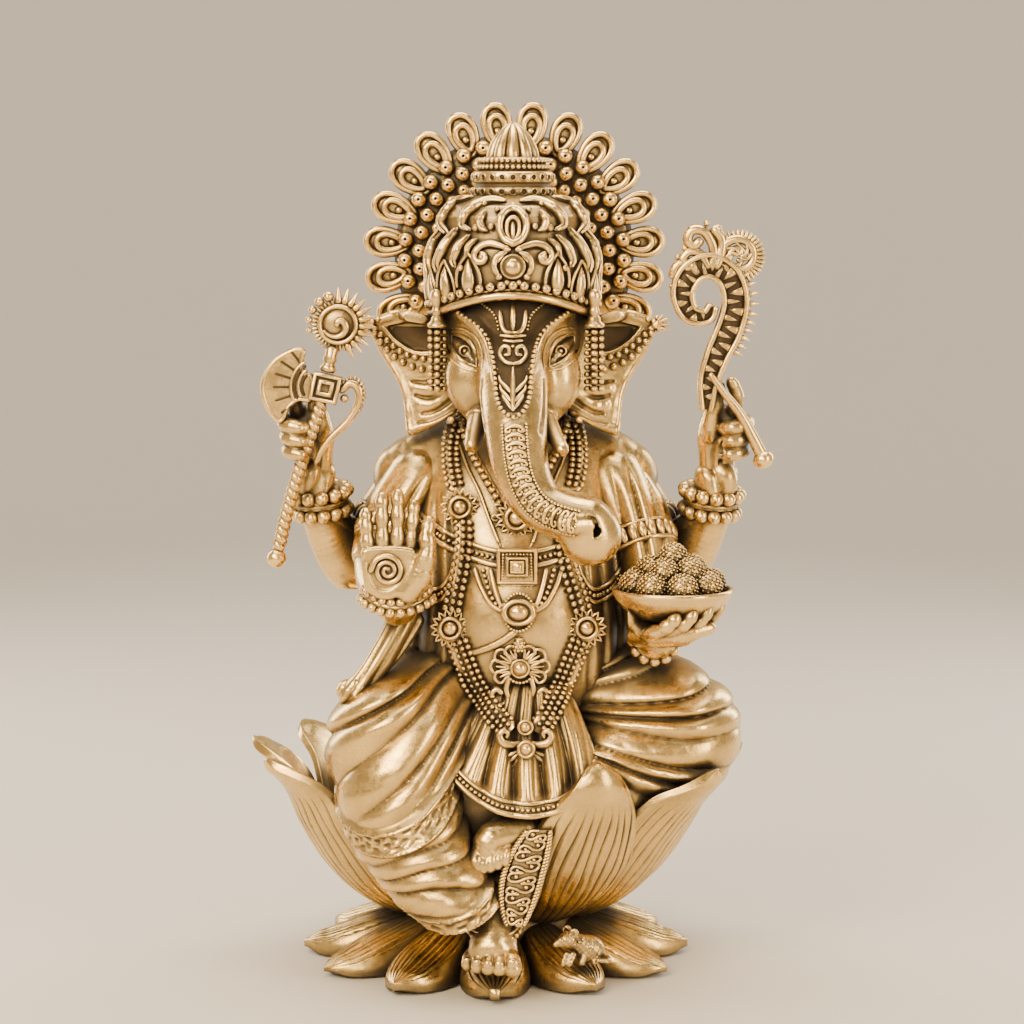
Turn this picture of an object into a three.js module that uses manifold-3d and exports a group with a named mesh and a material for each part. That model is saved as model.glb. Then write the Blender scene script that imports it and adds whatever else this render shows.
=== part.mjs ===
// A four-armed, elephant-headed deity seated on a lotus: an antique brass statuette 300 mm tall.
// Millimetres, +Z up. The figure faces -Y, and its own left hand is on +X.
// The origin is the middle of the flat underside. The castings stand 0.3 mm apart where they are joined.
import * as THREE from "three";
import { mergeVertices } from "three/addons/utils/BufferGeometryUtils.js";
import Module from "manifold-3d";

const wasm = await Module();
wasm.setup();

// Driving dimensions.
const BODY_X = 7; // the figure's middle plane, a little to the left of the lotus's axis
const GAP = 0.3; // between neighbouring castings
const LOTUS_DEPTH = 0.88; // the lotus is this much shallower than it is wide
const BASE_RADIUS = 68; // tips of the lower petals
const BASE_PETALS = 12;
const PLINTH_RADIUS = 33;
const UPPER_PETALS = 10;
const FIRST_PETAL = -65; // degrees round from +X; the petals leave the front open for the leg
const PETAL_STEP = 30; // degrees
const HALO_RADIUS = 46; // to the middle of the feather eyes
const HALO_CENTRE = [BODY_X - 0.5, 27, 247];
const FEATHERS = 19;
const FEATHER_RADIUS = 6.2;
const RIGHT = -1; // the figure's right is on -X
const LEFT = 1;

const brass = (name, hex, roughness) => {
  const material = new THREE.MeshStandardMaterial({ color: hex, metalness: 1, roughness });
  material.name = name;
  return material;
};
const SKIN = brass("bright_brass", 0xc9a464, 0.32);
const CLOTH = brass("cloth_brass", 0xb8924f, 0.36);
const LOTUS = brass("lotus_brass", 0xc2984f, 0.34);
const JEWEL = brass("jewel_brass", 0xb99758, 0.38);
const DARK = brass("dark_brass", 0x6b5434, 0.48);

// ---- Shape helpers ----

// A closed geometry as a solid, turned right side out.
function solidOf(geometry) {
  const bare = new THREE.BufferGeometry().setAttribute("position", geometry.getAttribute("position"));
  if (geometry.index) bare.setIndex(geometry.index);
  const merged = mergeVertices(bare, 1e-3);
  const vertProperties = new Float32Array(merged.attributes.position.array);
  const triVerts = new Uint32Array(merged.index.array);
  const solid = new wasm.Manifold(new wasm.Mesh({ numProp: 3, vertProperties, triVerts }));
  if (solid.volume() > 0) return solid;
  for (let i = 0; i < triVerts.length; i += 3) {
    const second = triVerts[i + 1];
    triVerts[i + 1] = triVerts[i + 2];
    triVerts[i + 2] = second;
  }
  return new wasm.Manifold(new wasm.Mesh({ numProp: 3, vertProperties, triVerts }));
}

// A geometry with every vertex moved by place(x, y, z), which returns the new place.
function moved(geometry, place) {
  const at = geometry.getAttribute("position");
  for (let i = 0; i < at.count; i++) at.setXYZ(i, ...place(at.getX(i), at.getY(i), at.getZ(i)));
  return geometry;
}

const join = (...solids) => solids.reduce((whole, solid) => whole.add(solid));
const lerp = THREE.MathUtils.lerp;
const radians = THREE.MathUtils.degToRad;

// A round-ended limb through stations [x, y, z, radius], its sections scaled by squash along X, Y and Z.
function limb(stations, grow = 0, { sides = 10, steps = 2, squash = [1, 1, 1] } = {}) {
  const curve = new THREE.CatmullRomCurve3(stations.map(([x, y, z]) => new THREE.Vector3(x, y, z)));
  const spans = stations.length - 1;
  const rows = spans * steps;
  const cap = 2; // rows in each round end
  const frames = curve.computeFrenetFrames(rows, false);
  const radiusAt = (u) => {
    const along = curve.getUtoTmapping(u) * spans;
    const i = Math.min(spans - 1, Math.floor(along));
    return lerp(stations[i][3], stations[i + 1][3], THREE.MathUtils.smoothstep(along - i, 0, 1)) + grow;
  };
  const lastRow = rows + 2 * cap;
  const geometry = new THREE.SphereGeometry(1, sides, lastRow);
  const at = geometry.getAttribute("position");
  for (let i = 0; i < at.count; i++) {
    const row = Math.floor(i / (sides + 1));
    const turn = ((i % (sides + 1)) % sides) * ((2 * Math.PI) / sides);
    const m = Math.min(rows, Math.max(0, row - cap));
    const intoCap = row < cap ? cap - row : Math.max(0, row - cap - rows);
    const bend = (intoCap / cap) * (Math.PI / 2);
    const radius = radiusAt(m / rows);
    const centre = curve.getPointAt(m / rows);
    const out = frames.normals[m].clone().multiplyScalar(Math.cos(turn));
    out.addScaledVector(frames.binormals[m], Math.sin(turn)).multiplyScalar(radius * Math.cos(bend));
    if (intoCap === cap) out.set(0, 0, 0);
    out.addScaledVector(frames.tangents[m], radius * Math.sin(bend) * (row < cap ? -1 : 1));
    at.setXYZ(i, centre.x + out.x * squash[0], centre.y + out.y * squash[1], centre.z + out.z * squash[2]);
  }
  return solidOf(geometry);
}

// A box bent to shape: place(u, v, w) takes 0 to 1 along each side and returns a point.
function bent(nu, nv, nw, place) {
  const box = new THREE.BoxGeometry(1, 1, 1, nu, nv, nw);
  return solidOf(moved(box, (x, y, z) => place(x + 0.5, y + 0.5, z + 0.5)));
}

// A turned solid: profile points [radius, z] from axis to axis, about [x, y], made oval by depthAt(z).
function turned(profile, [x, y], { sides = 16, depthAt = () => 1 } = {}) {
  const lathe = new THREE.LatheGeometry(profile.map(([r, z]) => new THREE.Vector2(r, z)), sides);
  return solidOf(moved(lathe, (a, b, c) => [x + a, y + c * depthAt(b), b]));
}

// An oval ring about centre, square to axis.
function ring(centre, axis, radius, thickness, depth = 1, sides = 20) {
  const turn = new THREE.Quaternion().setFromUnitVectors(
    new THREE.Vector3(0, 0, 1), new THREE.Vector3(...axis).normalize());
  const torus = new THREE.TorusGeometry(radius, thickness, 6, sides);
  const point = new THREE.Vector3();
  return solidOf(moved(torus, (x, y, z) => {
    point.set(x, y * depth, z).applyQuaternion(turn);
    return [centre[0] + point.x, centre[1] + point.y, centre[2] + point.z];
  }));
}

// A flat plate cut from an outline in X and Z, its middle at depth y.
function plate(outline, y, thickness) {
  const shape = new THREE.Shape(outline.map(([x, z]) => new THREE.Vector2(x, z)));
  const extruded = new THREE.ExtrudeGeometry(shape, { depth: thickness, bevelEnabled: false });
  return solidOf(moved(extruded, (x, z, d) => [x, y - thickness / 2 + d, z]));
}

const ball = ([x, y, z], radius, squash = [1, 1, 1], detail = 10) =>
  solidOf(moved(new THREE.SphereGeometry(1, detail, Math.round(detail * 0.67)), (a, b, c) =>
    [x + a * radius * squash[0], y + b * radius * squash[1], z + c * radius * squash[2]]));

// Points of a smooth line through the given ones.
const smoothLine = (points, count) =>
  new THREE.CatmullRomCurve3(points.map((p) => new THREE.Vector3(...p))).getPoints(count).map((p) => p.toArray());

// ---- Assembly: each casting is cut back from the ones laid before it ----

const statue = new THREE.Group();
const laid = [];

function geometryOf(solid) {
  const { numProp, numVert, vertProperties, triVerts } = solid.getMesh();
  const positions = new Float32Array(numVert * 3);
  for (let i = 0; i < numVert; i++) {
    positions.set(vertProperties.subarray(i * numProp, i * numProp + 3), i * 3);
  }
  const geometry = new THREE.BufferGeometry();
  geometry.setAttribute("position", new THREE.BufferAttribute(positions, 3));
  geometry.setIndex(new THREE.BufferAttribute(new Uint32Array(triVerts), 1));
  return geometry;
}

const boxesMeet = (a, b) => [0, 1, 2].every((i) => a.min[i] < b.max[i] && b.min[i] < a.max[i]);

// shape(grow) makes the casting, grown by that much all round.
function lay(name, material, shape) {
  const whole = shape(0);
  const box = whole.boundingBox();
  let solid = whole;
  for (const other of laid) {
    if (boxesMeet(box, other.box)) solid = solid.subtract(other.grown);
  }
  const bodies = solid.decompose().sort((a, b) => b.volume() - a.volume());
  const geometry = geometryOf(bodies[0]);
  geometry.computeBoundingBox();
  const middle = geometry.boundingBox.getCenter(new THREE.Vector3());
  geometry.translate(-middle.x, -middle.y, -middle.z);
  geometry.computeVertexNormals();
  const mesh = new THREE.Mesh(geometry, material);
  mesh.name = name;
  mesh.position.copy(middle);
  statue.add(mesh);
  const grown = shape(GAP).add(whole);
  laid.push({ box: grown.boundingBox(), grown });
}

// ---- Body ----

// The trunk of the body, an upright oval of half-width a and half-depth b at each height z.
const TORSO = [
  // z, a, b, middle y
  [82, 34, 30, 0],
  [96, 38, 36, -2],
  [112, 39, 39, -3],
  [128, 39, 40, -3],
  [145, 37, 37, -2],
  [160, 38, 32, 0],
  [174, 39, 28, 2],
  [187, 26, 23, 4],
];
function torsoAt(z) {
  const last = TORSO.length - 2;
  const i = Math.min(last, Math.max(0, TORSO.findLastIndex((row) => row[0] <= z)));
  const share = THREE.MathUtils.clamp((z - TORSO[i][0]) / (TORSO[i + 1][0] - TORSO[i][0]), 0, 1);
  return [1, 2, 3].map((k) => lerp(TORSO[i][k], TORSO[i + 1][k], share));
}
// The depth of the torso's front at x and z.
function chestFront(x, z) {
  const [a, b, middle] = torsoAt(z);
  const across = THREE.MathUtils.clamp((x - BODY_X) / a, -0.95, 0.95);
  return middle - b * Math.sqrt(1 - across * across);
}
const torso = (grow) => {
  const low = TORSO[0][0];
  const high = TORSO.at(-1)[0];
  const cylinder = new THREE.CylinderGeometry(1, 1, 1, 20, 7);
  return solidOf(moved(cylinder, (x, y, z) => {
    const height = lerp(low, high, y + 0.5);
    const [a, b, middle] = torsoAt(height);
    return [BODY_X + x * (a + grow), middle + z * (b + grow), height + Math.sign(y) * (Math.abs(y) === 0.5 ? grow : 0)];
  }));
};

const rightLeg = (grow) =>
  join(
    limb([[-4, 4, 92, 22], [-22, -20, 93, 24], [-34, -38, 84, 22]], grow, { sides: 12 }),
    limb([[-33, -38, 80, 22.5], [-31, -45, 62, 19.5], [-22, -52, 44, 15.5], [-10, -54, 32, 11.5]], grow, { sides: 12 }),
  );
const leftLeg = (grow) =>
  join(
    limb([[20, 4, 92, 22], [44, -14, 91, 22], [62, -24, 84, 21]], grow, { sides: 12 }),
    limb([[60, -25, 80, 20], [37, -36, 70, 14.5], [15, -43, 61, 10], [5, -47, 55, 7]], grow),
  );
const foot = (toes, instep, grow) =>
  join(
    limb(instep, grow),
    ...toes.map(([x, y, z, r]) => limb([[x, y + 6, z + 4, r], [x, y, z, r]], grow, { sides: 6, steps: 1 })),
  );
const TOE_SPREAD = [-8.2, -4.3, -0.6, 3.4, 8];
const rightFoot = (grow) =>
  foot(
    TOE_SPREAD.map((dx, i) => [dx - 1, -66 - i * 0.7, 12, i === 4 ? 3.2 : 2.2]),
    [[0, -50, 32, 7], [0, -56, 22, 8], [-0.5, -63, 16, 7]],
    grow,
  );
const leftFoot = (grow) =>
  foot(
    [-1, 0, 1].map((i) => [-5 + 2.4 * i, -62, 45 + 2.4 * i, 2.2]),
    [[10, -50, 57, 5.5], [3, -54, 54, 6], [-3, -56, 50, 5.6]],
    grow,
  );

// The front cloth, hanging from the waist over the lap in pleats to a round hem.
const apron = (grow) =>
  bent(8, 5, 1, (u, v, w) => {
    const width = lerp(11, 25, v) + grow;
    const x = 11 + (u - 0.5) * 2 * width;
    const hem = 9 * (1 - (2 * u - 1) ** 2);
    const z = lerp(103 + grow, 70 - hem - grow, v);
    const pleat = 1.2 * Math.cos((2 * u - 1) * 3 * Math.PI);
    const front = lerp(-43, -62, Math.sin((v * Math.PI) / 2)) + 6 * (2 * u - 1) ** 2 + pleat;
    return [x, front + w * (5 + 2 * grow) - grow, z];
  });
// The embroidered end of the waist sash, between the shin and the petals.
const sash = (grow) =>
  bent(2, 5, 1, (u, v, w) => {
    const half = lerp(3, 6.2, Math.sin(Math.min(1, v * 1.4) * (Math.PI / 2))) * (1 - 0.55 * Math.max(0, v - 0.7)) + grow;
    const x = lerp(20, 12, v) + (u - 0.5) * 2 * half;
    return [x, lerp(-50, -57, v) - grow + w * (4 + 2 * grow), lerp(58 + grow, 21 - grow, v)];
  });

// ---- Lotus ----

// The core that carries both rings of petals: a round plinth, a waist and an oval cup.
const lotusCore = (grow) =>
  turned(
    [[0, 0], [PLINTH_RADIUS + grow, 0], [PLINTH_RADIUS + grow, 20], [39 + grow, 26], [50 + grow, 40], [58 + grow, 56],
      [60 + grow, 68 + grow], [0, 70 + grow]],
    [0, 0], { sides: 24, depthAt: (z) => lerp(1, LOTUS_DEPTH, THREE.MathUtils.clamp((z - 20) / 10, 0, 1)) },
  );
// A lower petal lies on the table along +X, from the plinth out to an upturned point.
const basePetal = (grow) =>
  bent(4, 4, 1, (u, v, w) => {
    const across = 2 * v - 1;
    const r = lerp(PLINTH_RADIUS + GAP, BASE_RADIUS, u) + grow * (2 * u - 1);
    const wedge = (r - grow) * Math.tan(Math.PI / BASE_PETALS) - GAP;
    const half = Math.min(wedge, 13.2 * Math.sqrt(1 - (u * 0.99) ** 4)) + grow;
    const top = 4.5 + 11 * (1 - u) ** 1.5 + 1.6 * across * across + grow;
    return [r, across * half, lerp(0, top, w)];
  });
// The lower petals are one shape, turned about the axis from the front one round.
function layBasePetals() {
  const geometry = geometryOf(basePetal(0));
  geometry.computeVertexNormals();
  const grownGeometry = geometryOf(basePetal(GAP));
  const circle = new THREE.Group();
  circle.rotation.z = -Math.PI / 2;
  for (let i = 0; i < BASE_PETALS; i++) {
    const turn = (i / BASE_PETALS) * 2 * Math.PI;
    const mesh = new THREE.Mesh(geometry, LOTUS);
    mesh.name = `base_petal_${String(i + 1).padStart(2, "0")}`;
    mesh.rotation.z = turn;
    circle.add(mesh);
    const grown = solidOf(grownGeometry.clone().rotateZ(turn + circle.rotation.z));
    laid.push({ box: grown.boundingBox(), grown });
  }
  statue.add(circle);
}
// An upper petal, curving out and up from the cup to a pointed lip, at an angle round the lotus.
const upperPetal = (angle) => (grow) => {
  const turn = radians(angle);
  const spine = new THREE.SplineCurve(
    [[34, 19], [50, 27], [64, 42], [72, 58], [76, 68], [83, 77]].map(([r, z]) => new THREE.Vector2(r, z)));
  return bent(4, 5, 1, (u, v, w) => {
    const across = 2 * u - 1;
    const along = spine.getPoint(v);
    const half = 19.5 * Math.sin(Math.PI * lerp(0.2, 0.86, v)) * Math.sqrt(1 - v ** 6) + 1.2 + grow;
    const cupping = (across * across * half) / 19.5;
    const r = along.x - 4.5 * cupping + (w - 1) * (3.4 + 2 * grow) + grow;
    const z = along.y - 6 * v * cupping;
    const wedge = (r - grow) * Math.tan(radians(PETAL_STEP / 2)) - GAP;
    const side = across * Math.min(half, wedge + grow);
    const x = r * Math.cos(turn) - side * Math.sin(turn);
    const y = r * Math.sin(turn) + side * Math.cos(turn);
    return [x, y * LOTUS_DEPTH, z + grow * (2 * v - 1)];
  });
};

// ---- Head ----

const HEAD = [BODY_X - 1, -6, 218];
const head = (grow) =>
  join(
    ball(HEAD, 1, [24.5 + grow, 27 + grow, 25 + grow], 14),
    limb([[6, -14, 214, 21], [6, -20, 200, 16], [6, -16, 190, 12]], grow, { sides: 12 }),
    ball([6, -27, 226], 12 + grow, [1.25, 1, 0.9]),
  );
const TRUNK = [
  [6, -34, 212, 12.5],
  [6.5, -43, 200, 11.5],
  [7, -54, 186, 9.6],
  [9, -61, 172, 8.4],
  [16, -64, 164, 7.6],
  [26, -65, 162.5, 7.4],
  [33, -64, 160, 8.2],
];
const trunk = (grow) => join(limb(TRUNK, grow), ball([33.5, -62, 156.5], 9.8 + grow, [1, 1, 1], 12));
const tusk = (points) => (grow) => limb(points, grow, { sides: 8 });
const RIGHT_TUSK = [[-5, -32, 197, 3.6], [-7, -41, 190, 3], [-8, -46, 184, 2]]; // the broken one
const LEFT_TUSK = [[16, -36, 196, 3.4], [19, -47, 189, 3], [22, -57, 184, 2.4]];

const ear = (side) => (grow) => {
  const inner = [[18, -12, 230], [19, -13, 214], [18, -12, 200], [18, -12, 186]];
  const outer = [[51, -3, 225], [47, -2, 212], [38, -3, 196], [38, -5, 183]];
  const innerLine = new THREE.CatmullRomCurve3(inner.map((p) => new THREE.Vector3(...p)));
  const outerLine = new THREE.CatmullRomCurve3(outer.map((p) => new THREE.Vector3(...p)));
  return bent(4, 5, 1, (u, v, w) => {
    const from = innerLine.getPoint(v);
    const to = outerLine.getPoint(v);
    const sweep = u + (u - 0.5) * grow * 0.06;
    const point = from.lerp(to, sweep);
    const fold = 3 * Math.sin(u * Math.PI) * (1 - v);
    return [BODY_X + side * point.x, point.y + fold + (w - 0.5) * (3.6 + 2 * grow), point.z + grow * (1 - 2 * v)];
  });
};

// ---- Crown and halo ----

const CROWN_AXIS = [BODY_X - 1, -7];
const crownDome = (grow) =>
  turned(
    [[0, 233], [28 + grow, 233 - grow], [30 + grow, 243], [27.5 + grow, 254], [20 + grow, 262], [14 + grow, 266 + grow], [0, 266 + grow]],
    CROWN_AXIS, { sides: 20 },
  );
const crownTiers = (grow) =>
  turned(
    [[0, 266.5 - grow], [14.6 + grow, 266.5 - grow], [14.6 + grow, 270], [12.8 + grow, 271.5], [12.8 + grow, 278 + grow],
      [10.4 + grow, 279 + grow], [9.4 + grow, 284], [6 + grow, 289.5], [0, 293.4 + grow]],
    CROWN_AXIS,
  );
// The fan of feather eyes behind the crown, a plate with scalloped lobes over 250 degrees.
const halo = (grow) => {
  const [cx, y, cz] = HALO_CENTRE;
  const outline = [];
  const perLobe = 3;
  const sweep = radians(262);
  const points = FEATHERS * perLobe;
  for (let i = 0; i <= points; i++) {
    const turn = Math.PI / 2 + sweep * (0.5 - i / points);
    const lobe = Math.abs(Math.sin((i / perLobe) * Math.PI));
    const r = HALO_RADIUS - 2 + FEATHER_RADIUS * Math.sqrt(lobe) + grow;
    outline.push([cx + r * Math.cos(turn), cz + r * Math.sin(turn)]);
  }
  return plate(outline, y, 4.5 + 2 * grow);
};
const tassel = (side) => (grow) =>
  limb([[BODY_X + side * 26.5, -21, 231, 4], [BODY_X + side * 26.5, -22, 215, 3.6], [BODY_X + side * 26, -21, 202, 3]], grow,
    { sides: 8, steps: 2 });

// ---- Arms ----

// Stations are given on the left side, measured from the body's middle plane.
const sided = (side, points) => points.map(([x, ...rest]) => [BODY_X + side * x, ...rest]);
const REAR_ARM = [[34, 10, 170, 11], [46, 10, 152, 10.5], [57, 8, 138, 9.5], [64, 2, 150, 8.2], [69, -4, 162, 7]];
const FRONT_ARM = [[36, -4, 166, 11.5], [43, -12, 146, 10.5], [46, -20, 128, 9.5], [44, -34, 123, 8], [41, -44, 126, 7]];
const BOWL_ARM = [[36, -4, 166, 11.5], [44, -12, 146, 10.5], [46, -22, 129, 9.5], [46, -32, 121, 8], [47, -40, 119, 7]];
const arm = (side, stations) => (grow) => limb(sided(side, stations), grow);

const rearHand = (side) => (grow) =>
  join(
    limb(sided(side, [[70, -6, 168, 6.4], [71, -8, 178, 7], [72, -10, 189, 8]]), grow),
    ball([BODY_X + side * 75, -14, 191], 8.5 + grow, [1, 0.9, 1.05]),
    limb(sided(side, [[71, -11, 194, 4.5], [72, -12, 204, 3.2]]), grow, { sides: 6, steps: 1 }),
  );
// The open right hand, palm to the front and fingers up.
const openHand = (grow) =>
  join(
    limb([[-34, -48, 129, 7], [-34, -52, 138, 9.4], [-33.5, -54, 149, 9]], grow, { squash: [1.12, 0.55, 1] }),
    ...[[-41, 165, 2.3], [-35.6, 171.5, 2.6], [-29.8, 172, 2.7], [-24.4, 167, 2.5]].map(([x, top, r]) =>
      limb([[x + 0.8, -54, 148, r + 0.3], [x, -56, top - r, r]], grow, { sides: 6, steps: 1 })),
    limb([[-27, -54, 140, 4.2], [-21.5, -56, 150, 3.6], [-21.5, -57, 158, 2.8]], grow, { sides: 6, steps: 1 }),
  );
const BOWL_CENTRE = [59.3, -48];
const bowl = (grow) =>
  turned(
    [[0, 124.5 - grow], [8 + grow, 125 - grow], [15 + grow, 129 - grow], [20.4 + grow, 135.5], [20.4 + grow, 137.2 + grow],
      [18.6, 137.2 + grow], [13, 131.5 + grow], [0, 130 + grow]],
    BOWL_CENTRE,
  );
const cuppedHand = (grow) =>
  join(
    limb([[54.5, -41, 118.5, 6.6], [58, -48, 119.5, 7.4], [62, -52, 121, 6.5]], grow, { squash: [1.1, 1, 0.7] }),
    ...[-6, -1, 4, 9].map((dx, i) =>
      limb([[60 + dx * 0.5, -52, 120.5, 2.6], [64 + dx, -61 + i, 124, 2.5], [66 + dx, -65 + 1.5 * i, 128.5, 2.2]], grow,
        { sides: 6, steps: 1 })),
  );
const laddus = (grow) => {
  const [cx, cy] = BOWL_CENTRE;
  const tiers = [[13, 7, 137.8], [6.4, 3, 143], [0, 1, 147]]; // ring radius, balls, height
  const balls = tiers.flatMap(([r, count, z]) =>
    Array.from({ length: count }, (_, i) => {
      const turn = ((i + 0.5) / count) * 2 * Math.PI;
      return ball([cx + r * Math.cos(turn), cy + r * Math.sin(turn), z], 5.2 + grow, [1, 1, 0.95], 6);
    }));
  const middle = turned([[0, 131], [12, 133], [14.5, 138], [9, 143], [0, 146]], BOWL_CENTRE, { sides: 7 });
  return join(middle, ...balls);
};
const bracelet = (side, centre, axis, radius) => (grow) => {
  const at = [BODY_X + side * centre[0], centre[1], centre[2]];
  const along = new THREE.Vector3(side * axis[0], axis[1], axis[2]).normalize();
  const step = along.clone().multiplyScalar(3.4).toArray();
  const shifted = (way) => at.map((value, k) => value + way * step[k]);
  return join(
    ring(shifted(-1), along.toArray(), radius, 2.6 + grow, 1, 12),
    ring(shifted(1), along.toArray(), radius - 0.6, 2.5 + grow, 1, 12),
  );
};

// ---- Attributes in the rear hands, and the mouse ----

const axe = (grow) => {
  const y = -19;
  const blade = [];
  const rays = 10;
  for (let i = 0; i <= rays; i++) {
    const turn = radians(lerp(128, 232, i / rays));
    blade.push([-58 + (22.5 + grow) * Math.cos(turn), 220 + (15.5 + grow) * Math.sin(turn)]);
  }
  blade.push([-66, 212.5 - grow], [-58, 214.5 - grow], [-58, 224.5 + grow], [-67, 227.5 + grow]);
  const fluke = smoothLine([[-53, y, 220], [-47.5, y, 221], [-45.5, y, 216], [-50, y, 209], [-57, y + 1, 201]], 6);
  return join(
    limb([[-74, y, 161, 2.4], [-70, y, 182, 2.4], [-64, y, 203, 2.4], [-56, y, 230, 2.4]], grow, { sides: 8, steps: 1 }),
    ball([-74.6, y, 158.5], 3 + grow, [1, 1, 1], 8),
    plate(blade, y, 3 + 2 * grow),
    plate([[-62, 215], [-54.5, 212.5], [-51.8, 222], [-59.5, 224.5]], y, 8 + 2 * grow),
    limb(fluke.map((p, i) => [...p, 1.9 - 0.12 * i]), grow, { sides: 6, steps: 1 }),
    ball([-51, y + 2, 240], 9 + grow, [1, 0.45, 1], 12),
  );
};
// The goad: a staff that curls over into a broad hook with a scrolled crest.
const goad = (grow) => {
  const y = -20;
  const hook = smoothLine(
    [[76, y, 200], [79, y, 214], [82.5, y, 224], [80.5, y, 234], [72.5, y, 238.5], [65, y, 234.5], [63.5, y, 227.5], [68, y, 223], [71, y, 226]], 11);
  return join(
    limb(hook.map((p, i) => [...p, 3.6 - 0.1 * i]), grow, { sides: 8, steps: 1, squash: [1, 0.7, 1] }),
    limb([[76, y, 202, 3], [83, y, 190, 2.6], [91, y, 176, 2.2]], grow, { sides: 8 }),
    ball([92, y, 173.5], 3.6 + grow, [1, 1, 1], 8),
    limb([[70, y, 240, 3], [72, y, 246, 3.2], [80, y, 248, 6.4]], grow, { sides: 8, squash: [1, 0.6, 1] }),
  );
};
const mouse = (grow) =>
  join(
    limb([[34, -54, 15, 5.2], [29, -55, 17.5, 5], [24.5, -56, 21, 3.6], [21, -57.5, 20.6, 1.8]], grow, { sides: 8, steps: 1 }),
    ball([26.5, -59, 24], 2.4 + grow, [1, 0.6, 1], 6),
    ball([27, -52.5, 24], 2.4 + grow, [1, 0.6, 1], 6),
  );

// ---- Jewellery ----

// A string of beads over the body: a limb that lies on the torso's front at each [x, z].
const onChest = (points, radius, lift = 0.6) =>
  points.map(([x, z]) => [x, chestFront(x, z) - radius * lift, z, radius]);
const MEDALLIONS = [[-12, 162], [-15.5, 122], [31.5, 122]]; // at x and z
const disc = ([x, z], radius, grow) => {
  const round = new THREE.CylinderGeometry(radius + grow, radius + grow, 5 + 2 * grow, 12);
  const y = chestFront(x, z) - 4;
  return solidOf(moved(round, (a, b, c) => [x + a, y + b, z + c]));
};
const garland = (grow) => {
  const half = [[-15, 178], [-13.5, 160], [-15, 140], [-15.5, 122], [-8, 106]];
  const left = half.map(([x, z]) => [2 * (BODY_X + 1) - x, z]);
  const upper = onChest(half, 4);
  const lower = [[2, -58, 94, 3.8], [10, -66, 84, 3.8]];
  const right = onChest(left, 4).reverse();
  const ends = [[18, -58, 94, 3.8]];
  const strings = limb([...upper, ...lower, ...ends, ...right], grow, { sides: 6 });
  return join(strings, ...MEDALLIONS.map((place) => disc(place, 7.6, grow)));
};
const flatRing = (middle, height, reach, grow, drop = 0) =>
  solidOf(moved(new THREE.TorusGeometry(1, 0.5, 4, 20), (x, y, z) => {
    const out = Math.hypot(x, y) - 1;
    const turn = Math.atan2(y, x);
    const sag = drop * Math.max(0, -Math.sin(turn)) ** 2;
    const at = middle - sag;
    const [a, b, centre] = torsoAt(at);
    const size = reach + out * (3.2 + 2 * grow);
    return [BODY_X + (a + size) * Math.cos(turn), centre + (b + size) * Math.sin(turn), at + z * (height + 2 * grow)];
  }));
const waistBelt = (grow) => flatRing(109, 6, 0.8, grow, 6);

// ---- Laying up the castings ----

lay("lotus_core", LOTUS, lotusCore);
layBasePetals();
lay("torso", CLOTH, torso);
lay("right_leg", CLOTH, rightLeg);
lay("left_leg", CLOTH, leftLeg);
lay("right_foot", SKIN, rightFoot);
lay("left_foot", SKIN, leftFoot);
for (let i = 0; i < UPPER_PETALS; i++) {
  lay(`lotus_petal_${String(i + 1).padStart(2, "0")}`, LOTUS, upperPetal(FIRST_PETAL + i * PETAL_STEP));
}
lay("apron_cloth", CLOTH, apron);
lay("sash_end", JEWEL, sash);
lay("head", SKIN, head);
lay("trunk", SKIN, trunk);
lay("broken_right_tusk", SKIN, tusk(RIGHT_TUSK));
lay("left_tusk", SKIN, tusk(LEFT_TUSK));
lay("crown_dome", JEWEL, crownDome);
lay("crown_tiers", JEWEL, crownTiers);
for (const [side, name] of [[RIGHT, "right"], [LEFT, "left"]]) {
  lay(`${name}_ear`, SKIN, ear(side));
  lay(`${name}_ear_tassel`, JEWEL, tassel(side));
  lay(`rear_${name}_arm`, SKIN, arm(side, REAR_ARM));
}
lay("feather_halo", DARK, halo);
lay("front_right_arm", SKIN, arm(RIGHT, FRONT_ARM));
lay("front_left_arm", SKIN, arm(LEFT, BOWL_ARM));
lay("battle_axe", JEWEL, axe);
lay("goad", JEWEL, goad);
lay("rear_right_hand", SKIN, rearHand(RIGHT));
lay("rear_left_hand", SKIN, rearHand(LEFT));
lay("open_right_hand", SKIN, openHand);
lay("sweets_bowl", SKIN, bowl);
lay("sweets", JEWEL, laddus);
lay("bowl_left_hand", SKIN, cuppedHand);
lay("rear_right_bracelet", JEWEL, bracelet(RIGHT, [69, -4, 164], [0.35, -0.4, 0.85], 8.6));
lay("rear_left_bracelet", JEWEL, bracelet(LEFT, [69, -4, 164], [0.35, -0.4, 0.85], 8.6));
lay("front_right_bracelet", JEWEL, bracelet(RIGHT, [41, -45, 126], [-0.1, -0.7, 0.45], 8.4));
lay("front_left_bracelet", JEWEL, bracelet(LEFT, [47, -38, 119], [0, -1, 0.1], 8.4));
lay("mouse", JEWEL, mouse);
lay("waist_belt", JEWEL, waistBelt);
lay("garland", JEWEL, garland);

export default statue;
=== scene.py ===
"""A seated, elephant-headed deity on a lotus, cast in brass with a rubbed antique patina and painted shade in
its hollows.

Shapes are worked in millimetres in the frame's own axes and become metres when a piece is made.
Soft forms are modelled as clay, a signed distance grid; the rest is lofted, turned, swept or beaded.
"""
import math

import bpy
import numpy as np
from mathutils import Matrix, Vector
from mathutils.bvhtree import BVHTree


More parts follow.
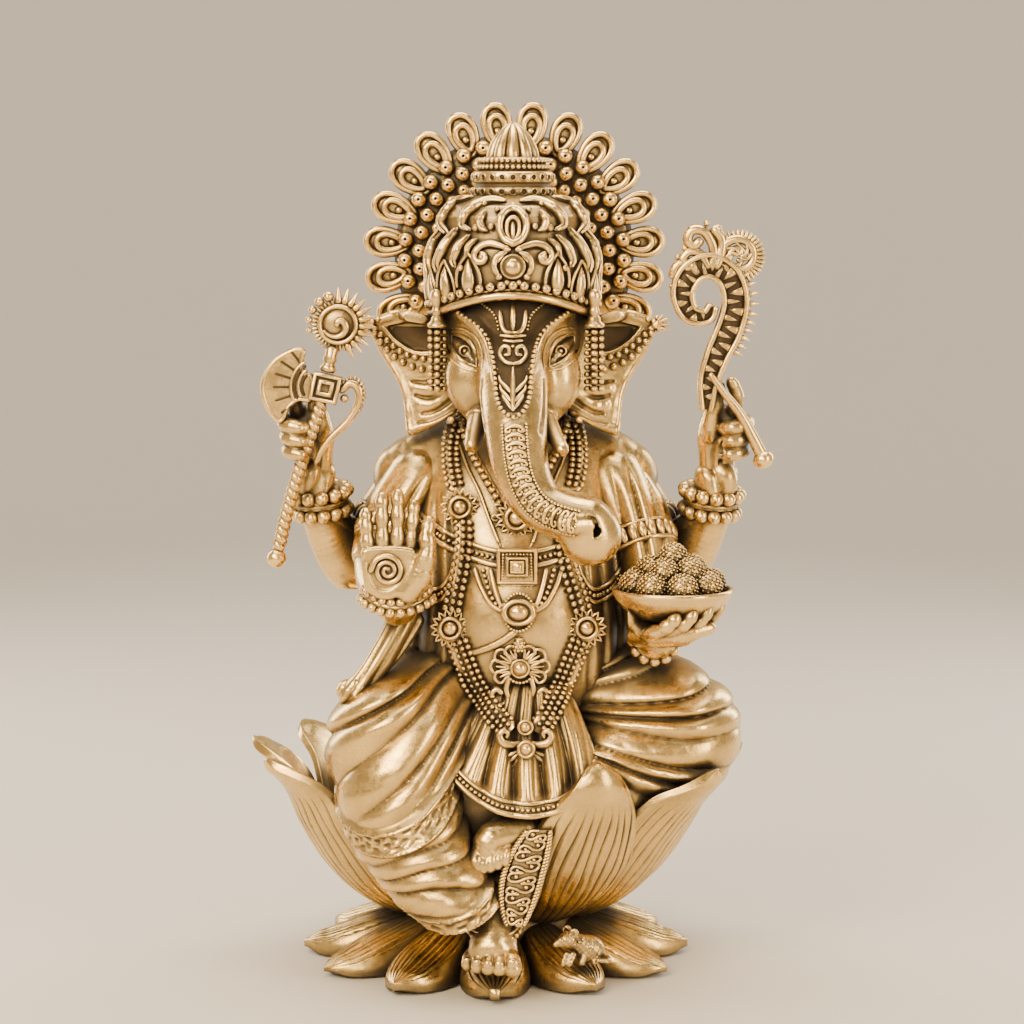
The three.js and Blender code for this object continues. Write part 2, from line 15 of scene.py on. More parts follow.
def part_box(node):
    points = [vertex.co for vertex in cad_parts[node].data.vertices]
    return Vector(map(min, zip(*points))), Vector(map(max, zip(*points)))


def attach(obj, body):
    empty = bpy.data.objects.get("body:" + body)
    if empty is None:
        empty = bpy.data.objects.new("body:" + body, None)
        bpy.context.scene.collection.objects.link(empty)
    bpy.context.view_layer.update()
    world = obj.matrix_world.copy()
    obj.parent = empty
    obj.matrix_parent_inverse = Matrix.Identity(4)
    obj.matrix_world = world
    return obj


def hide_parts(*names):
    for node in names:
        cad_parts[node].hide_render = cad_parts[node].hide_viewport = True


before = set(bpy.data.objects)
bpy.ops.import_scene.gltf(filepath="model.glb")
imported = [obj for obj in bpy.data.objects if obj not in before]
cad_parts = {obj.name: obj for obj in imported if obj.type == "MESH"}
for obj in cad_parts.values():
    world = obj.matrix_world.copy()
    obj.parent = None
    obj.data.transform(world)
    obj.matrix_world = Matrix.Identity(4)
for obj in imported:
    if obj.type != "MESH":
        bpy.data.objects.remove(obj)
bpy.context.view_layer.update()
MM = 0.001
TAU = 2 * math.pi


# ---- Places taken from the frame, in mm ----

def low(node):
    """The corner of a node's box with the least x, y and z."""
    return np.array(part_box(node)[0]) / MM


def high(node):
    """The corner of a node's box with the greatest x, y and z."""
    return np.array(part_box(node)[1]) / MM


def middle(node):
    """The middle of a node's box."""
    return (low(node) + high(node)) / 2


BODY_X = middle("torso")[0]
RIGHT, LEFT = -1, 1  # the figure's own sides, on -X and +X
SIDE_WORD = {RIGHT: "right", LEFT: "left"}


def sided(side, points):
    """Points given on the left side, measured from the body's middle plane."""
    return [(BODY_X + side * x, *rest) for x, *rest in points]


# ---- Small mathematics ----

def lerp(a, b, t):
    """The value at the share t of the way from a to b."""
    return a + (b - a) * t


def smooth(x, start, end):
    """A soft step: 0 before start, 1 after end."""
    t = np.clip((x - start) / (end - start), 0, 1)
    return t * t * (3 - 2 * t)


def unit(v):
    """The direction of a vector, one long."""
    v = np.asarray(v, float)
    return v / np.linalg.norm(v)


def spline(a, b, c, d, f):
    """Between b and c, at the share f of the way, with a and d on either side."""
    square, cube = 2 * a - 5 * b + 4 * c - d, 3 * b - a - 3 * c + d
    return 0.5 * (2 * b + (c - a) * f + square * f ** 2 + cube * f ** 3)


def evened(line, at_shares):
    """The line's points at shares of its length, whatever the width of a point beyond x, y, z."""
    gone = np.concatenate([[0], np.cumsum(np.linalg.norm(np.diff(line[:, :3], axis=0), axis=1))])
    return np.stack([np.interp(at_shares * gone[-1], gone, line[:, k]) for k in range(line.shape[1])],
                    axis=1)


def curve(points, count):
    """A smooth line through points, as count even steps."""
    p = np.asarray(points, float)
    p = np.vstack([2 * p[0] - p[1], p, 2 * p[-1] - p[-2]])
    t = np.linspace(0, len(points) - 1, 12 * len(points))
    i = np.minimum(t.astype(int), len(points) - 2)
    return evened(spline(p[i], p[i + 1], p[i + 2], p[i + 3], (t - i)[:, None]), np.linspace(0, 1, count))


def closed(points, count):
    """A smooth closed line through points, as count even steps."""
    p = np.asarray(points, float)
    n = len(p)
    t = np.linspace(0, n, 16 * n + 1)
    i = t.astype(int)
    fine = spline(p[(i - 1) % n], p[i % n], p[(i + 1) % n], p[(i + 2) % n], (t - i)[:, None])
    return evened(fine, np.arange(count) / count)


def outline_distance(line, x, z):
    """Signed distance to a closed outline of [x, z] points, negative inside."""
    near = np.full(np.broadcast(x, z).shape, 1e9)
    within = np.zeros(near.shape, bool)
    for (ax, az), (bx, bz) in zip(line, np.roll(line, -1, axis=0)):
        ex, ez = bx - ax, bz - az
        t = np.clip(((x - ax) * ex + (z - az) * ez) / max(ex * ex + ez * ez, 1e-9), 0, 1)
        near = np.minimum(near, (x - ax - t * ex) ** 2 + (z - az - t * ez) ** 2)
        if az != bz:
            within ^= ((az > z) != (bz > z)) & (x < ax + (z - az) * ex / ez)
    return np.where(within, -1, 1) * np.sqrt(near)


def directions(line):
    """The unit direction of a line at each of its points."""
    along = np.gradient(line, axis=0)
    return along / np.linalg.norm(along, axis=1, keepdims=True)


def sideways(along):
    """The direction a quarter turn to the left of each flat direction."""
    return np.stack([-along[:, 1], along[:, 0]], axis=1)


def length(line):
    """The length of a line of points."""
    return np.linalg.norm(np.diff(np.asarray(line)[:, :3], axis=0), axis=1).sum()


def ripple(p, scale, seed=0.0):
    """Smooth, fixed unevenness from -1 to 1, with bumps about scale apart."""
    x, y, z = (q / scale for q in p)
    return (np.sin(1.7 * x + 2.3 * y + seed) + np.sin(2.1 * y - 1.3 * z + 2.6 * seed)
            + np.sin(1.9 * z + 1.1 * x - 1.7 * seed)) / 3


def fold(phase, sharpness=0.7):
    """Cloth folds across a phase: round ridges and tight valleys, from -0.5 to 0.5."""
    return np.abs(np.sin(np.pi * phase)) ** sharpness - 0.5


def drapery(phase, warp, sharpness=0.8):
    """Folds that bend with warp and are neither evenly spaced nor evenly deep."""
    bent = phase + 0.5 * warp + 0.2 * np.sin(2.3 * phase)
    return fold(bent, sharpness) * (0.78 + 0.22 * np.sin(1.9 * bent + 1.0))


def groove(distance, width):
    """A bell that is 1 on a line and fades to 0 about two widths away."""
    return np.exp(-(distance / width) ** 2)


# ---- Clay ----

CORNERS = np.array([(i, j, k) for i in (0, 1) for j in (0, 1) for k in (0, 1)])
EDGES = [(a, b) for a in range(8) for b in range(a + 1, 8) if np.abs(CORNERS[a] - CORNERS[b]).sum() == 1]


class Clay:
    """A block of signed distance, negative inside, that lumps are added to and cut from."""

    def __init__(self, lo, hi, step):
        self.lo = np.asarray(lo, float)
        self.step = step
        shape = np.ceil((np.asarray(hi) - self.lo) / step).astype(int) + 1
        self.d = np.full(shape, 6.0, np.float32)

    @classmethod
    def around(cls, nodes, step, spare=3.0):
        """A block round the boxes of some nodes, with spare mm on every side."""
        lo = np.min([low(n) for n in nodes], axis=0) - spare
        hi = np.max([high(n) for n in nodes], axis=0) + spare
        return cls(lo, hi, step)

    def grid(self, lo=None, hi=None):
        """The slices and the sparse coordinates of a window of the block."""
        n = np.array(self.d.shape)
        a = np.zeros(3, int) if lo is None else np.clip(((lo - self.lo) / self.step).astype(int), 0, n)
        b = n if hi is None else np.clip(((hi - self.lo) / self.step).astype(int) + 2, 0, n)
        spans = tuple(slice(i, j) for i, j in zip(a, b))
        axes = [(self.lo[k] + self.step * np.arange(a[k], b[k])).astype(np.float32) for k in range(3)]
        return spans, np.meshgrid(*axes, indexing="ij", sparse=True)

    def merge(self, spans, other, blend):
        """Adds a lump, blended into what is there."""
        here = self.d[spans]
        near = np.maximum(blend - np.abs(here - other), 0)
        self.d[spans] = np.minimum(here, other) - near * near / (4 * blend)

    def cut(self, spans, other, blend):
        """Cuts a lump away, with a blended edge."""
        here = self.d[spans]
        near = np.maximum(blend - np.abs(here + other), 0)
        self.d[spans] = np.maximum(here, -other) + near * near / (4 * blend)

    def limb(self, stations, blend=2.0, squash=(1, 1, 1), count=None, carve=False):
        """A round tube through [x, y, z, radius] stations, its section scaled by squash."""
        s = np.asarray(squash, np.float32)
        line = curve(stations, count or max(4, 4 * (len(stations) - 1))) if len(stations) > 1 else None
        rows = np.array([stations[0], stations[0]], float) if line is None else line
        reach = rows[:, 3].max() * s + blend + 2 * self.step
        spans, (x, y, z) = self.grid(rows[:, :3].min(axis=0) - reach, rows[:, :3].max(axis=0) + reach)
        if self.d[spans].size == 0:
            return self
        best = None
        for p, q in zip(rows[:-1], rows[1:]):
            a, axis = p[:3] / s, (q[:3] - p[:3]) / s
            px, py, pz = x / s[0] - a[0], y / s[1] - a[1], z / s[2] - a[2]
            t = np.clip((px * axis[0] + py * axis[1] + pz * axis[2]) / max(axis @ axis, 1e-9), 0, 1)
            gap = np.sqrt((px - t * axis[0]) ** 2 + (py - t * axis[1]) ** 2 + (pz - t * axis[2]) ** 2)
            gap = (gap - (p[3] + t * (q[3] - p[3]))) * s.min()
            best = gap if best is None else np.minimum(best, gap)
        (self.cut if carve else self.merge)(spans, best, blend)
        return self

    def egg(self, centre, radii, blend=2.0, carve=False):
        """An ellipsoid."""
        c, r = np.asarray(centre, float), np.asarray(radii, float)
        spans, (x, y, z) = self.grid(c - r - blend - 1, c + r + blend + 1)
        x, y, z = x - c[0], y - c[1], z - c[2]
        k = np.sqrt((x / r[0]) ** 2 + (y / r[1]) ** 2 + (z / r[2]) ** 2)
        k2 = np.sqrt((x / r[0] ** 2) ** 2 + (y / r[1] ** 2) ** 2 + (z / r[2] ** 2) ** 2)
        gap = k * (k - 1) / np.maximum(k2, 1e-6)
        (self.cut if carve else self.merge)(spans, gap, blend)
        return self

    def barrel(self, rows, x0, blend=2.0):
        """An upright oval body from rows of height, half-width, half-depth and middle y."""
        rows = curve([(h, 0, 0, a, b, mid) for h, a, b, mid in rows], 80)[:, [0, 3, 4, 5]]
        spans, (x, y, z) = self.grid()
        a, b, mid = (np.interp(z, rows[:, 0], rows[:, k]) for k in (1, 2, 3))
        k = np.sqrt(((x - x0) / a) ** 2 + ((y - mid) / b) ** 2)
        gap = (k - 1) * np.minimum(a, b)
        gap = np.maximum(gap, np.maximum(rows[0, 0] - z, z - rows[-1, 0]))
        self.merge(spans, gap, blend)
        return self

    def press(self, height):
        """Raises the surface by height(x, y, z), where the block is near it."""
        _, (x, y, z) = self.grid()
        self.d -= height(x, y, z).astype(np.float32)
        return self

    def plate(self, outline, level, half, blend=1.0, carve=False, rounding=1.0):
        """A slab of an [x, z] outline, half mm to each side of y = level(x, z)."""
        line = np.asarray(outline, float)
        a, b = line.min(axis=0) - 3, line.max(axis=0) + 3
        spans, (x, y, z) = self.grid(np.array([a[0], -999, a[1]]), np.array([b[0], 999, b[1]]))
        side = outline_distance(line, x[:, 0], z[0, 0][None, :])[:, None, :] + rounding
        deep = np.abs(y - level(x, z)) - half + rounding
        outside = np.hypot(np.maximum(side, 0), np.maximum(deep, 0))
        gap = np.minimum(np.maximum(side, deep), 0) + outside - rounding
        (self.cut if carve else self.merge)(spans, gap, blend)
        return self

    def trace(self, points, sink=0.4, blend=0.8, carve=False, squash=(1, 1, 1)):
        """A ridge, or a cut, through [x, z, radius] points on the front surface, sunk by sink radii."""
        surface = self.lo[1] + self.step * (self.d < 0).argmax(axis=1)
        line = curve([(x, 0, z, r) for x, z, r in points], max(4, 3 * len(points)))
        i = np.clip(np.round((line[:, 0] - self.lo[0]) / self.step).astype(int), 0, surface.shape[0] - 1)
        k = np.clip(np.round((line[:, 2] - self.lo[2]) / self.step).astype(int), 0, surface.shape[1] - 1)
        line[:, 1] = surface[i, k] + sink * line[:, 3]
        return self.limb(line, blend, squash, len(line), carve)

    def skin(self):
        """The zero surface as quads, one point in each crossed cell (surface nets)."""
        d = np.pad(self.d, 1, constant_values=3.0)
        inside = d < 0
        n = np.array(d.shape) - 1
        count = sum(inside[i:i + n[0], j:j + n[1], k:k + n[2]].astype(np.int8) for i, j, k in CORNERS)
        cells = np.argwhere((count > 0) & (count < 8))
        number = np.full(n, -1, np.int64)
        number[tuple(cells.T)] = np.arange(len(cells))
        values = np.stack([d[tuple((cells + c).T)] for c in CORNERS], axis=1)
        total, hits = np.zeros((len(cells), 3)), np.zeros((len(cells), 1))
        for a, b in EDGES:
            va, vb = values[:, a:a + 1], values[:, b:b + 1]
            crossed = (va < 0) != (vb < 0)
            t = np.where(crossed, va / np.where(crossed, va - vb, 1), 0)
            total += np.where(crossed, CORNERS[a] + t * (CORNERS[b] - CORNERS[a]), 0)
            hits += crossed
        points = (cells + total / hits - 1) * self.step + self.lo
        quads = []
        for axis in range(3):
            u, v = (axis + 1) % 3, (axis + 2) % 3
            a = np.moveaxis(inside, axis, 0)[:-1]
            b = np.moveaxis(inside, axis, 0)[1:]
            where = np.argwhere(np.moveaxis(a != b, 0, axis))
            where = where[(where[:, u] > 0) & (where[:, v] > 0) & (where[:, u] < n[u]) & (where[:, v] < n[v])]
            steps = []
            for du, dv in ((1, 1), (0, 1), (0, 0), (1, 0)):
                cell = where.copy()
                cell[:, u] -= du
                cell[:, v] -= dv
                steps.append(number[tuple(cell.T)])
            quad = np.stack(steps, axis=1)
            outward = inside[tuple(where.T)]
            quad[~outward] = quad[~outward][:, ::-1]
            quads.append(quad)
        return points, np.vstack(quads)


# ---- Castings: shapes gathered into one piece ----

class Casting:
    """Collects points and faces in mm and becomes one named piece."""

    def __init__(self):
        self.points, self.faces, self.total = [], [], 0

    def put(self, points, faces):
        """Adds points, and faces that count from the first of them."""
        self.points.append(np.asarray(points, float))
        self.faces.append(np.asarray(faces, int) + self.total)
        self.total += len(points)
        return self

    def clay(self, block):
        """Adds the surface of a clay block."""
        return self.put(*block.skin())

    def loft(self, rings, loop=False):
        """Skins rings of shape (rows, sides, 3); open ends get a flat fan."""
        rows, sides, _ = rings.shape
        i, j = np.meshgrid(np.arange(rows if loop else rows - 1), np.arange(sides), indexing="ij")
        a, b = i * sides + j, i * sides + (j + 1) % sides
        c, d = ((i + 1) % rows) * sides + (j + 1) % sides, ((i + 1) % rows) * sides + j
        quads = np.stack([a, b, c, d], axis=-1).reshape(-1, 4)
        centre = rings.mean(axis=1)
        across = np.cross(rings[1:, 0] - rings[:-1, 0], rings[:-1, 1] - rings[:-1, 0])
        if np.einsum("ij,ij->i", across, rings[:-1, 0] - centre[:-1]).sum() > 0:
            quads = quads[:, ::-1]
        self.put(rings.reshape(-1, 3), quads)
        if not loop:
            flip = (quads[0] != np.stack([a, b, c, d], axis=-1).reshape(-1, 4)[0]).any()
            for row, turn in ((0, flip), (rows - 1, not flip)):
                k = np.arange(sides)
                fan = np.stack([k, (k + 1) % sides, np.full(sides, sides)], axis=1)
                self.put(np.vstack([rings[row], centre[row]]), fan if turn else fan[:, ::-1])
        return self

    def tube(self, line, radius, sides=8, loop=False, flat=1.0, up=(0, -1, 0)):
        """A rod along a line, its section flattened by flat in the direction of up."""
        p = np.asarray(line, float)[:, :3]
        r = np.broadcast_to(np.asarray(radius, float), len(p))
        if loop:
            t = np.roll(p, -1, axis=0) - np.roll(p, 1, axis=0)
        else:
            t = np.gradient(p, axis=0)
        t /= np.maximum(np.linalg.norm(t, axis=1, keepdims=True), 1e-9)
        n = np.asarray(up, float) - t * (t @ np.asarray(up, float))[:, None]
        weak = np.linalg.norm(n, axis=1) < 0.2
        n[weak] = np.cross(t[weak], (0.3, 0.1, 1.0))
        n /= np.linalg.norm(n, axis=1, keepdims=True)
        b = np.cross(t, n)
        turn = np.arange(sides) * TAU / sides
        cos, sin = np.cos(turn)[None, :, None], np.sin(turn)[None, :, None] * flat
        rings = p[:, None] + r[:, None, None] * (cos * b[:, None] + sin * n[:, None])
        if loop:
            return self.loft(rings, loop=True)
        ends = []
        for end, way in ((0, -1), (-1, 1)):
            ball = [(math.sin(a), math.cos(a)) for a in (0.35 * math.pi, 0.18 * math.pi)]
            caps = [p[end] + way * t[end] * r[end] * c + (rings[end] - p[end]) * s for s, c in ball]
            ends.append(caps if way > 0 else caps[::-1])
        return self.loft(np.concatenate([np.array(ends[0]), rings, np.array(ends[1])]))

    def turned(self, profile, at=(0, 0, 0), axis=(0, 0, 1), sides=24, oval=(1, 1), spin=0.0):
        """Turns a profile of [radius, height] rows about an axis through a point."""
        w = unit(axis)
        u = unit(np.cross((0, 1, 0) if abs(w[1]) < 0.9 else (1, 0, 0), w))
        v = np.cross(w, u)
        turn = spin + np.arange(sides) * TAU / sides
        pr = np.maximum(np.asarray(profile, float), (1e-4, -1e9))
        ring = np.cos(turn)[:, None] * u * oval[0] + np.sin(turn)[:, None] * v * oval[1]
        return self.loft(np.asarray(at, float) + pr[:, None, :1] * ring + pr[:, None, 1:] * w)

    def bead(self, at, radius, axis=(0, -1, 0), long=1.0, sides=10):
        """A ball, stretched by long along its axis."""
        arc = np.linspace(0.06, math.pi - 0.06, 7)
        rows = np.stack([radius * np.sin(arc), -radius * long * np.cos(arc)], axis=1)
        return self.turned(rows, at, axis, sides)

    def drilled_bead(self, at, radius, axis=(0, -1, 0)):
        """A ball with a hole down from its pole."""
        arc = np.linspace(0.06, math.pi - 0.42, 8)
        rows = [(radius * math.sin(a), -radius * math.cos(a)) for a in arc]
        rows[-1] = (0.30 * radius, 0.954 * radius)
        rows += [(0.17 * radius, 0.90 * radius), (0.14 * radius, 0.35 * radius)]
        return self.turned(rows, at, axis, 14)

    def string(self, line, radius, spacing=2.0, axis=None, long=1.0, drilled=False, sides=10):
        """Beads along a line, spacing radii apart, strung along it unless axis is given."""
        count = max(2, int(round(length(line) / (radius * spacing))) + 1)
        p = curve(line, count) if len(line) > 2 else np.linspace(line[0], line[-1], count)
        t = np.gradient(p[:, :3], axis=0)
        for here, along in zip(p, t):
            way = along if axis is None else axis
            if drilled:
                self.drilled_bead(here[:3], radius, way)
            else:
                self.bead(here[:3], radius, way, long, sides)
        return self

    def leaf(self, place, rows, sides):
        """A leaf or plate: place(u, v, w) for rows of u, with v, w round a flat closed section."""
        u = np.linspace(0, 1, rows)[:, None]
        turn = (np.arange(sides) + 0.5) * TAU / sides
        v = np.cos(turn)
        v = np.sign(v) * np.abs(np.sin(np.pi / 2 * v))
        w = np.sign(np.sin(turn)) * np.abs(np.sin(turn)) ** 0.5
        return self.loft(place(u, v[None, :], w[None, :]))

    def object(self, name):
        """The gathered points and faces as a Blender object in metres."""
        mesh = bpy.data.meshes.new(name)
        points = np.vstack(self.points) * MM
        loops = np.concatenate([f.reshape(-1) for f in self.faces])
        sizes = np.concatenate([np.full(len(f), f.shape[1]) for f in self.faces])
        mesh.vertices.add(len(points))
        mesh.vertices.foreach_set("co", points.astype(np.float32).reshape(-1))
        mesh.loops.add(len(loops))
        mesh.loops.foreach_set("vertex_index", loops.astype(np.int32))
        mesh.polygons.add(len(sizes))
        mesh.polygons.foreach_set("loop_start", (np.cumsum(sizes) - sizes).astype(np.int32))
        mesh.polygons.foreach_set("loop_total", sizes.astype(np.int32))
        mesh.update(calc_edges=True)
        mesh.validate()
        mesh.shade_smooth()
        piece = bpy.data.objects.new(name, mesh)
        bpy.context.scene.collection.objects.link(piece)
        return piece


def cast(name, casting, brass, *nodes):
    """Makes the piece, gives it its brass, hangs it from the root and hides the frame nodes it stands for."""
    material, slot = brass
    piece = casting.object(name)
    piece.data.materials.append(material)
    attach(piece, "root")
    if nodes:
        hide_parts(*nodes)
    return piece


class Wall:
    """Finds where finished pieces are met from the front, so that jewellery lies on them."""

    def __init__(self, *pieces):
        self.trees = []
        for piece in pieces:
            points = [v.co / MM for v in piece.data.vertices]
            faces = [tuple(p.vertices) for p in piece.data.polygons]
            self.trees.append(BVHTree.FromPolygons(points, faces))

    def front(self, x, z, default=-40.0):
        """The y at which a ray from the front first meets a piece."""
        hits = []
        for tree in self.trees:
            place = tree.ray_cast(Vector((x, -200, z)), Vector((0, 1, 0)))[0]
            if place is not None:
                hits.append(place.y)
        return min(hits) if hits else default

    def lay(self, points, lift, count):
        """A smooth line over the surface through [x, z] points, lift mm in front of it."""
        flat = curve([(x, 0, z) for x, z in points], count)
        y = np.array([self.front(x, z) for x, _, z in flat])
        padded = np.pad(y, 2, mode="edge")
        y = np.convolve(padded, [0.1, 0.2, 0.4, 0.2, 0.1], mode="valid")
        return np.stack([flat[:, 0], y - lift, flat[:, 2]], axis=1)


# ---- Brass ----

# near-black colour used for patina in fine crevices and for painted shade in broad hollows and crease valleys
PATINA_AND_SHADE = (0.030, 0.021, 0.013)


def brass(name, slot, colour, reach, roughness, fine=1.0, crease=(0.440, 0.492)):
    """Rubbed brass with its slot: patina settles within reach mm of a recess, painted shade darkens broad
    hollows up to five times that far and the valleys of creases, and crests are polished.
    """
    material = bpy.data.materials.new(name)
    material.use_nodes = True
    nodes, links = material.node_tree.nodes, material.node_tree.links
    shader = nodes["Principled BSDF"]
    shader.inputs["Metallic"].default_value = 1.0
    place = nodes.new("ShaderNodeTexCoord").outputs["Object"]

    def noise(scale, detail, rough=0.6):
        node = nodes.new("ShaderNodeTexNoise")
        node.inputs["Scale"].default_value = scale
        node.inputs["Detail"].default_value = detail
        node.inputs["Roughness"].default_value = rough
        links.new(place, node.inputs["Vector"])
        return node.outputs["Fac"]

    def remap(value, low_in, high_in, low_out, high_out):
        node = nodes.new("ShaderNodeMapRange")
        node.interpolation_type = "SMOOTHSTEP"
        for socket, number in zip(("From Min", "From Max", "To Min", "To Max"),
                                  (low_in, high_in, low_out, high_out)):
            node.inputs[socket].default_value = number
        links.new(value, node.inputs["Value"])
        return node.outputs["Result"]

    def combine(kind, a, b):
        node = nodes.new("ShaderNodeMath")
        node.operation = kind
        for socket, value in zip(node.inputs, (a, b)):
            if isinstance(value, (int, float)):
                socket.default_value = value
            else:
                links.new(value, socket)
        return node.outputs["Value"]

    def mix(factor, a, b):
        node = nodes.new("ShaderNodeMix")
        node.data_type = "RGBA"
        links.new(factor, node.inputs["Factor"])
        for socket, value in ((node.inputs["A"], a), (node.inputs["B"], b)):
            if isinstance(value, tuple):
                socket.default_value = (*value, 1)
            else:
                links.new(value, socket)
        return node.outputs["Result"]

    def open_sky(distance):
        node = nodes.new("ShaderNodeAmbientOcclusion")
        node.samples = 5
        node.inputs["Distance"].default_value = distance * MM
        return node.outputs["AO"]

    def shaken(value, shake, amount):
        return combine("ADD", value, combine("MULTIPLY", combine("SUBTRACT", shake, 0.5), amount))

    stain = noise(55, 5)
    mottle = noise(260, 4, 0.7)
    crevice = remap(shaken(open_sky(reach), mottle, 0.35), 0.42, 0.92, 0, 1)
    # painted shade: occlusion over five times the reach darkens the colour wherever other parts crowd close
    hollow_shade = remap(shaken(open_sky(5 * reach), stain, 0.5), 0.40, 0.94, 0.0, 1)
    crest = nodes.new("ShaderNodeNewGeometry").outputs["Pointiness"]
    rub = remap(crest, 0.47, 0.56, 0, 1)
    # painted shade, with some patina: the valleys of creases, found by pointiness, are darkened
    crease_shade = remap(crest, *crease, 0.26, 1)
    # 1 on bare, open brass; towards 0 where crevice patina or painted shade in hollows and creases takes over
    clean_and_unshaded = combine("MULTIPLY", combine("MULTIPLY", crevice, hollow_shade), crease_shade)
    tone = mix(remap(stain, 0.35, 0.68, 0, 1), tuple(0.66 * c for c in colour), colour)
    bright = mix(rub, tone, tuple(min(1, 1.22 * c) for c in colour))
    # the base colour sinks to near black in crevice patina and in the painted shade of hollows and creases
    links.new(mix(clean_and_unshaded, PATINA_AND_SHADE, bright), shader.inputs["Base Color"])
    links.new(remap(clean_and_unshaded, 0, 0.6, 0.3, 1), shader.inputs["Metallic"])
    worn = combine("SUBTRACT", remap(mottle, 0.3, 0.7, roughness - 0.05, roughness + 0.11),
                   combine("MULTIPLY", rub, 0.05))
    grime = combine("MULTIPLY", combine("SUBTRACT", 1, clean_and_unshaded), 0.30)
    links.new(combine("ADD", worn, grime), shader.inputs["Roughness"])
    bump = nodes.new("ShaderNodeBump")
    bump.inputs["Strength"].default_value = 0.22 * fine
    bump.inputs["Distance"].default_value = 0.25 * MM
    links.new(combine("ADD", noise(900, 3), combine("MULTIPLY", noise(140, 4), 1.6)),
              bump.inputs["Height"])
    links.new(bump.outputs["Normal"], shader.inputs["Normal"])
    return material, slot


# reach also sets how far the painted shade of hollows spreads, five times as far; crease sets which valleys
# get painted shade
SKIN = brass("bright_brass", "bright_brass", (0.82, 0.560, 0.205), 2.8, 0.24)
CLOTH = brass("cloth_brass", "cloth_brass", (0.77, 0.520, 0.185), 5.0, 0.25, crease=(0.462, 0.4935))
LOTUS = brass("lotus_brass", "lotus_brass", (0.78, 0.530, 0.185), 3.0, 0.24)
JEWEL = brass("jewel_brass", "jewel_brass", (0.82, 0.560, 0.210), 2.0, 0.25, 0.5)
DARK = brass("dark_brass", "dark_brass", (0.62, 0.43, 0.18), 2.2, 0.30)
INLAY = brass("sunk_brass", "dark_brass", (0.070, 0.047, 0.026), 2.2, 0.46)


# ---- Lotus ----

LOTUS_DEPTH = 0.88  # depth of the upper lotus over its width
UPPER_HALF = 20.5  # half the width of an upper petal
UPPER_PETALS = 10
FIRST_PETAL, PETAL_STEP = -65, 30  # degrees round from +X
BASE_PETALS = 12


def lotus_core():
    """The plinth, waist and cup between the two rings of petals, topped by a seed disc."""
    core = Casting()
    rows = [(0.01, 0.2), (32.6, 0.2), (32.8, 6), (32.4, 14), (31.4, 19), (33.5, 22), (38, 26), (44, 32),
            (50, 40), (55, 49), (58, 58), (59.4, 66), (58.6, 69), (56, 70), (30, 70.3), (0.01, 70.4)]
    fine = curve([(r, 0, z) for r, z in rows], 90)
    turn = np.arange(160) * TAU / 160
    r, z = fine[:, :1], fine[:, 2:]
    flute = 0.35 * fold(turn[None, :] * 40 / TAU, 0.8) * smooth(z, 8, 22)
    depth = lerp(1, LOTUS_DEPTH, smooth(z, 20, 30))
    core.loft(np.stack([(r + flute) * np.cos(turn), (r + flute) * np.sin(turn) * depth,
                        np.broadcast_to(z, (90, 160))], axis=-1))
    for ring_radius, count in ((52, 44), (44, 36), (36, 28)):
        for turn in np.arange(count) * TAU / count:
            at = (ring_radius * math.cos(turn), LOTUS_DEPTH * ring_radius * math.sin(turn), 69.4)
            core.bead(at, 1.5, (0, 0, 1), sides=8)
    return cast("lotus_core_casting", core, LOTUS, "lotus_core")


def veins(v, count, wobble):
    """Fine engraved lines side by side across a leaf, zero deep between them."""
    phase = (v + wobble) * count / 2
    return groove(phase - np.round(phase), 0.105)


def swung(turn, out, side, z, depth=1.0):
    """Points of a petal from their reach, sideways place and height, swung round the lotus by turn."""
    x = out * np.cos(turn) - side * np.sin(turn)
    y = (out * np.sin(turn) + side * np.cos(turn)) * depth
    return np.stack([x, y, np.broadcast_to(z, side.shape)], axis=-1)


def base_petal(index):
    """A petal lying on the table, its tip turned up."""
    turn = -TAU / 4 + index * TAU / BASE_PETALS
    reach = low("base_petal_01")[1] * -1
    root = 30.0
    lift = 0.7 * math.sin(2.4 * index)

    def place(u, v, w):
        r = lerp(root, reach, u)
        half = 13.0 * np.clip((0.70 + 0.9 * u) * (1 - u ** 2.0) ** 0.80, 0.02, 1)
        round_over = (1 - v ** 4) ** 0.5
        swell = 3.0 * np.sin(np.pi * np.clip(u, 0, 1)) ** 0.8
        body = 3.0 * lerp(1, 0.3, smooth(u, 0.82, 1.0)) + 13.0 * (1 - u) ** 1.5 + swell
        top = 1.4 + body * lerp(0.25, 1, round_over) + 1.8 * smooth(u, 0.76, 1.0) + lift * u
        spread = v * (1.15 - 0.35 * u)
        cut = 1.1 * veins(spread, 11, 0.02 * np.sin(5 * u + index)) * smooth(u, 0.04, 0.2)
        cut = cut * (1 - smooth(u, 0.86, 0.97)) * (1 - smooth(np.abs(v), 0.80, 0.90))
        midrib = 0.7 * np.exp(-(v / 0.10) ** 2) * (1 - smooth(u, 0.7, 0.95))
        bottom = 0.25 + 1.8 * smooth(u, 0.80, 1.0)
        z = np.where(w > 0, lerp(bottom + 1.6, top - cut + midrib, w), bottom + 1.6 * (1 + w))
        return swung(turn, r, v * half, z)

    leaf = Casting().leaf(place, 70, 200)
    if index == 0:
        tip = np.array([0, -reach, 3.6])
        nub = [(0.01, -1.6), (2.3, -1.5), (2.6, -0.8), (2.6, 1.2), (2.2, 1.8), (0.01, 2.0)]
        leaf.turned(nub, tip, (0, -1, 0.1), 4, (1.1, 0.9), TAU / 8)
    name = f"base_petal_{index + 1:02d}"
    return cast(name + "_casting", leaf, LOTUS, name)


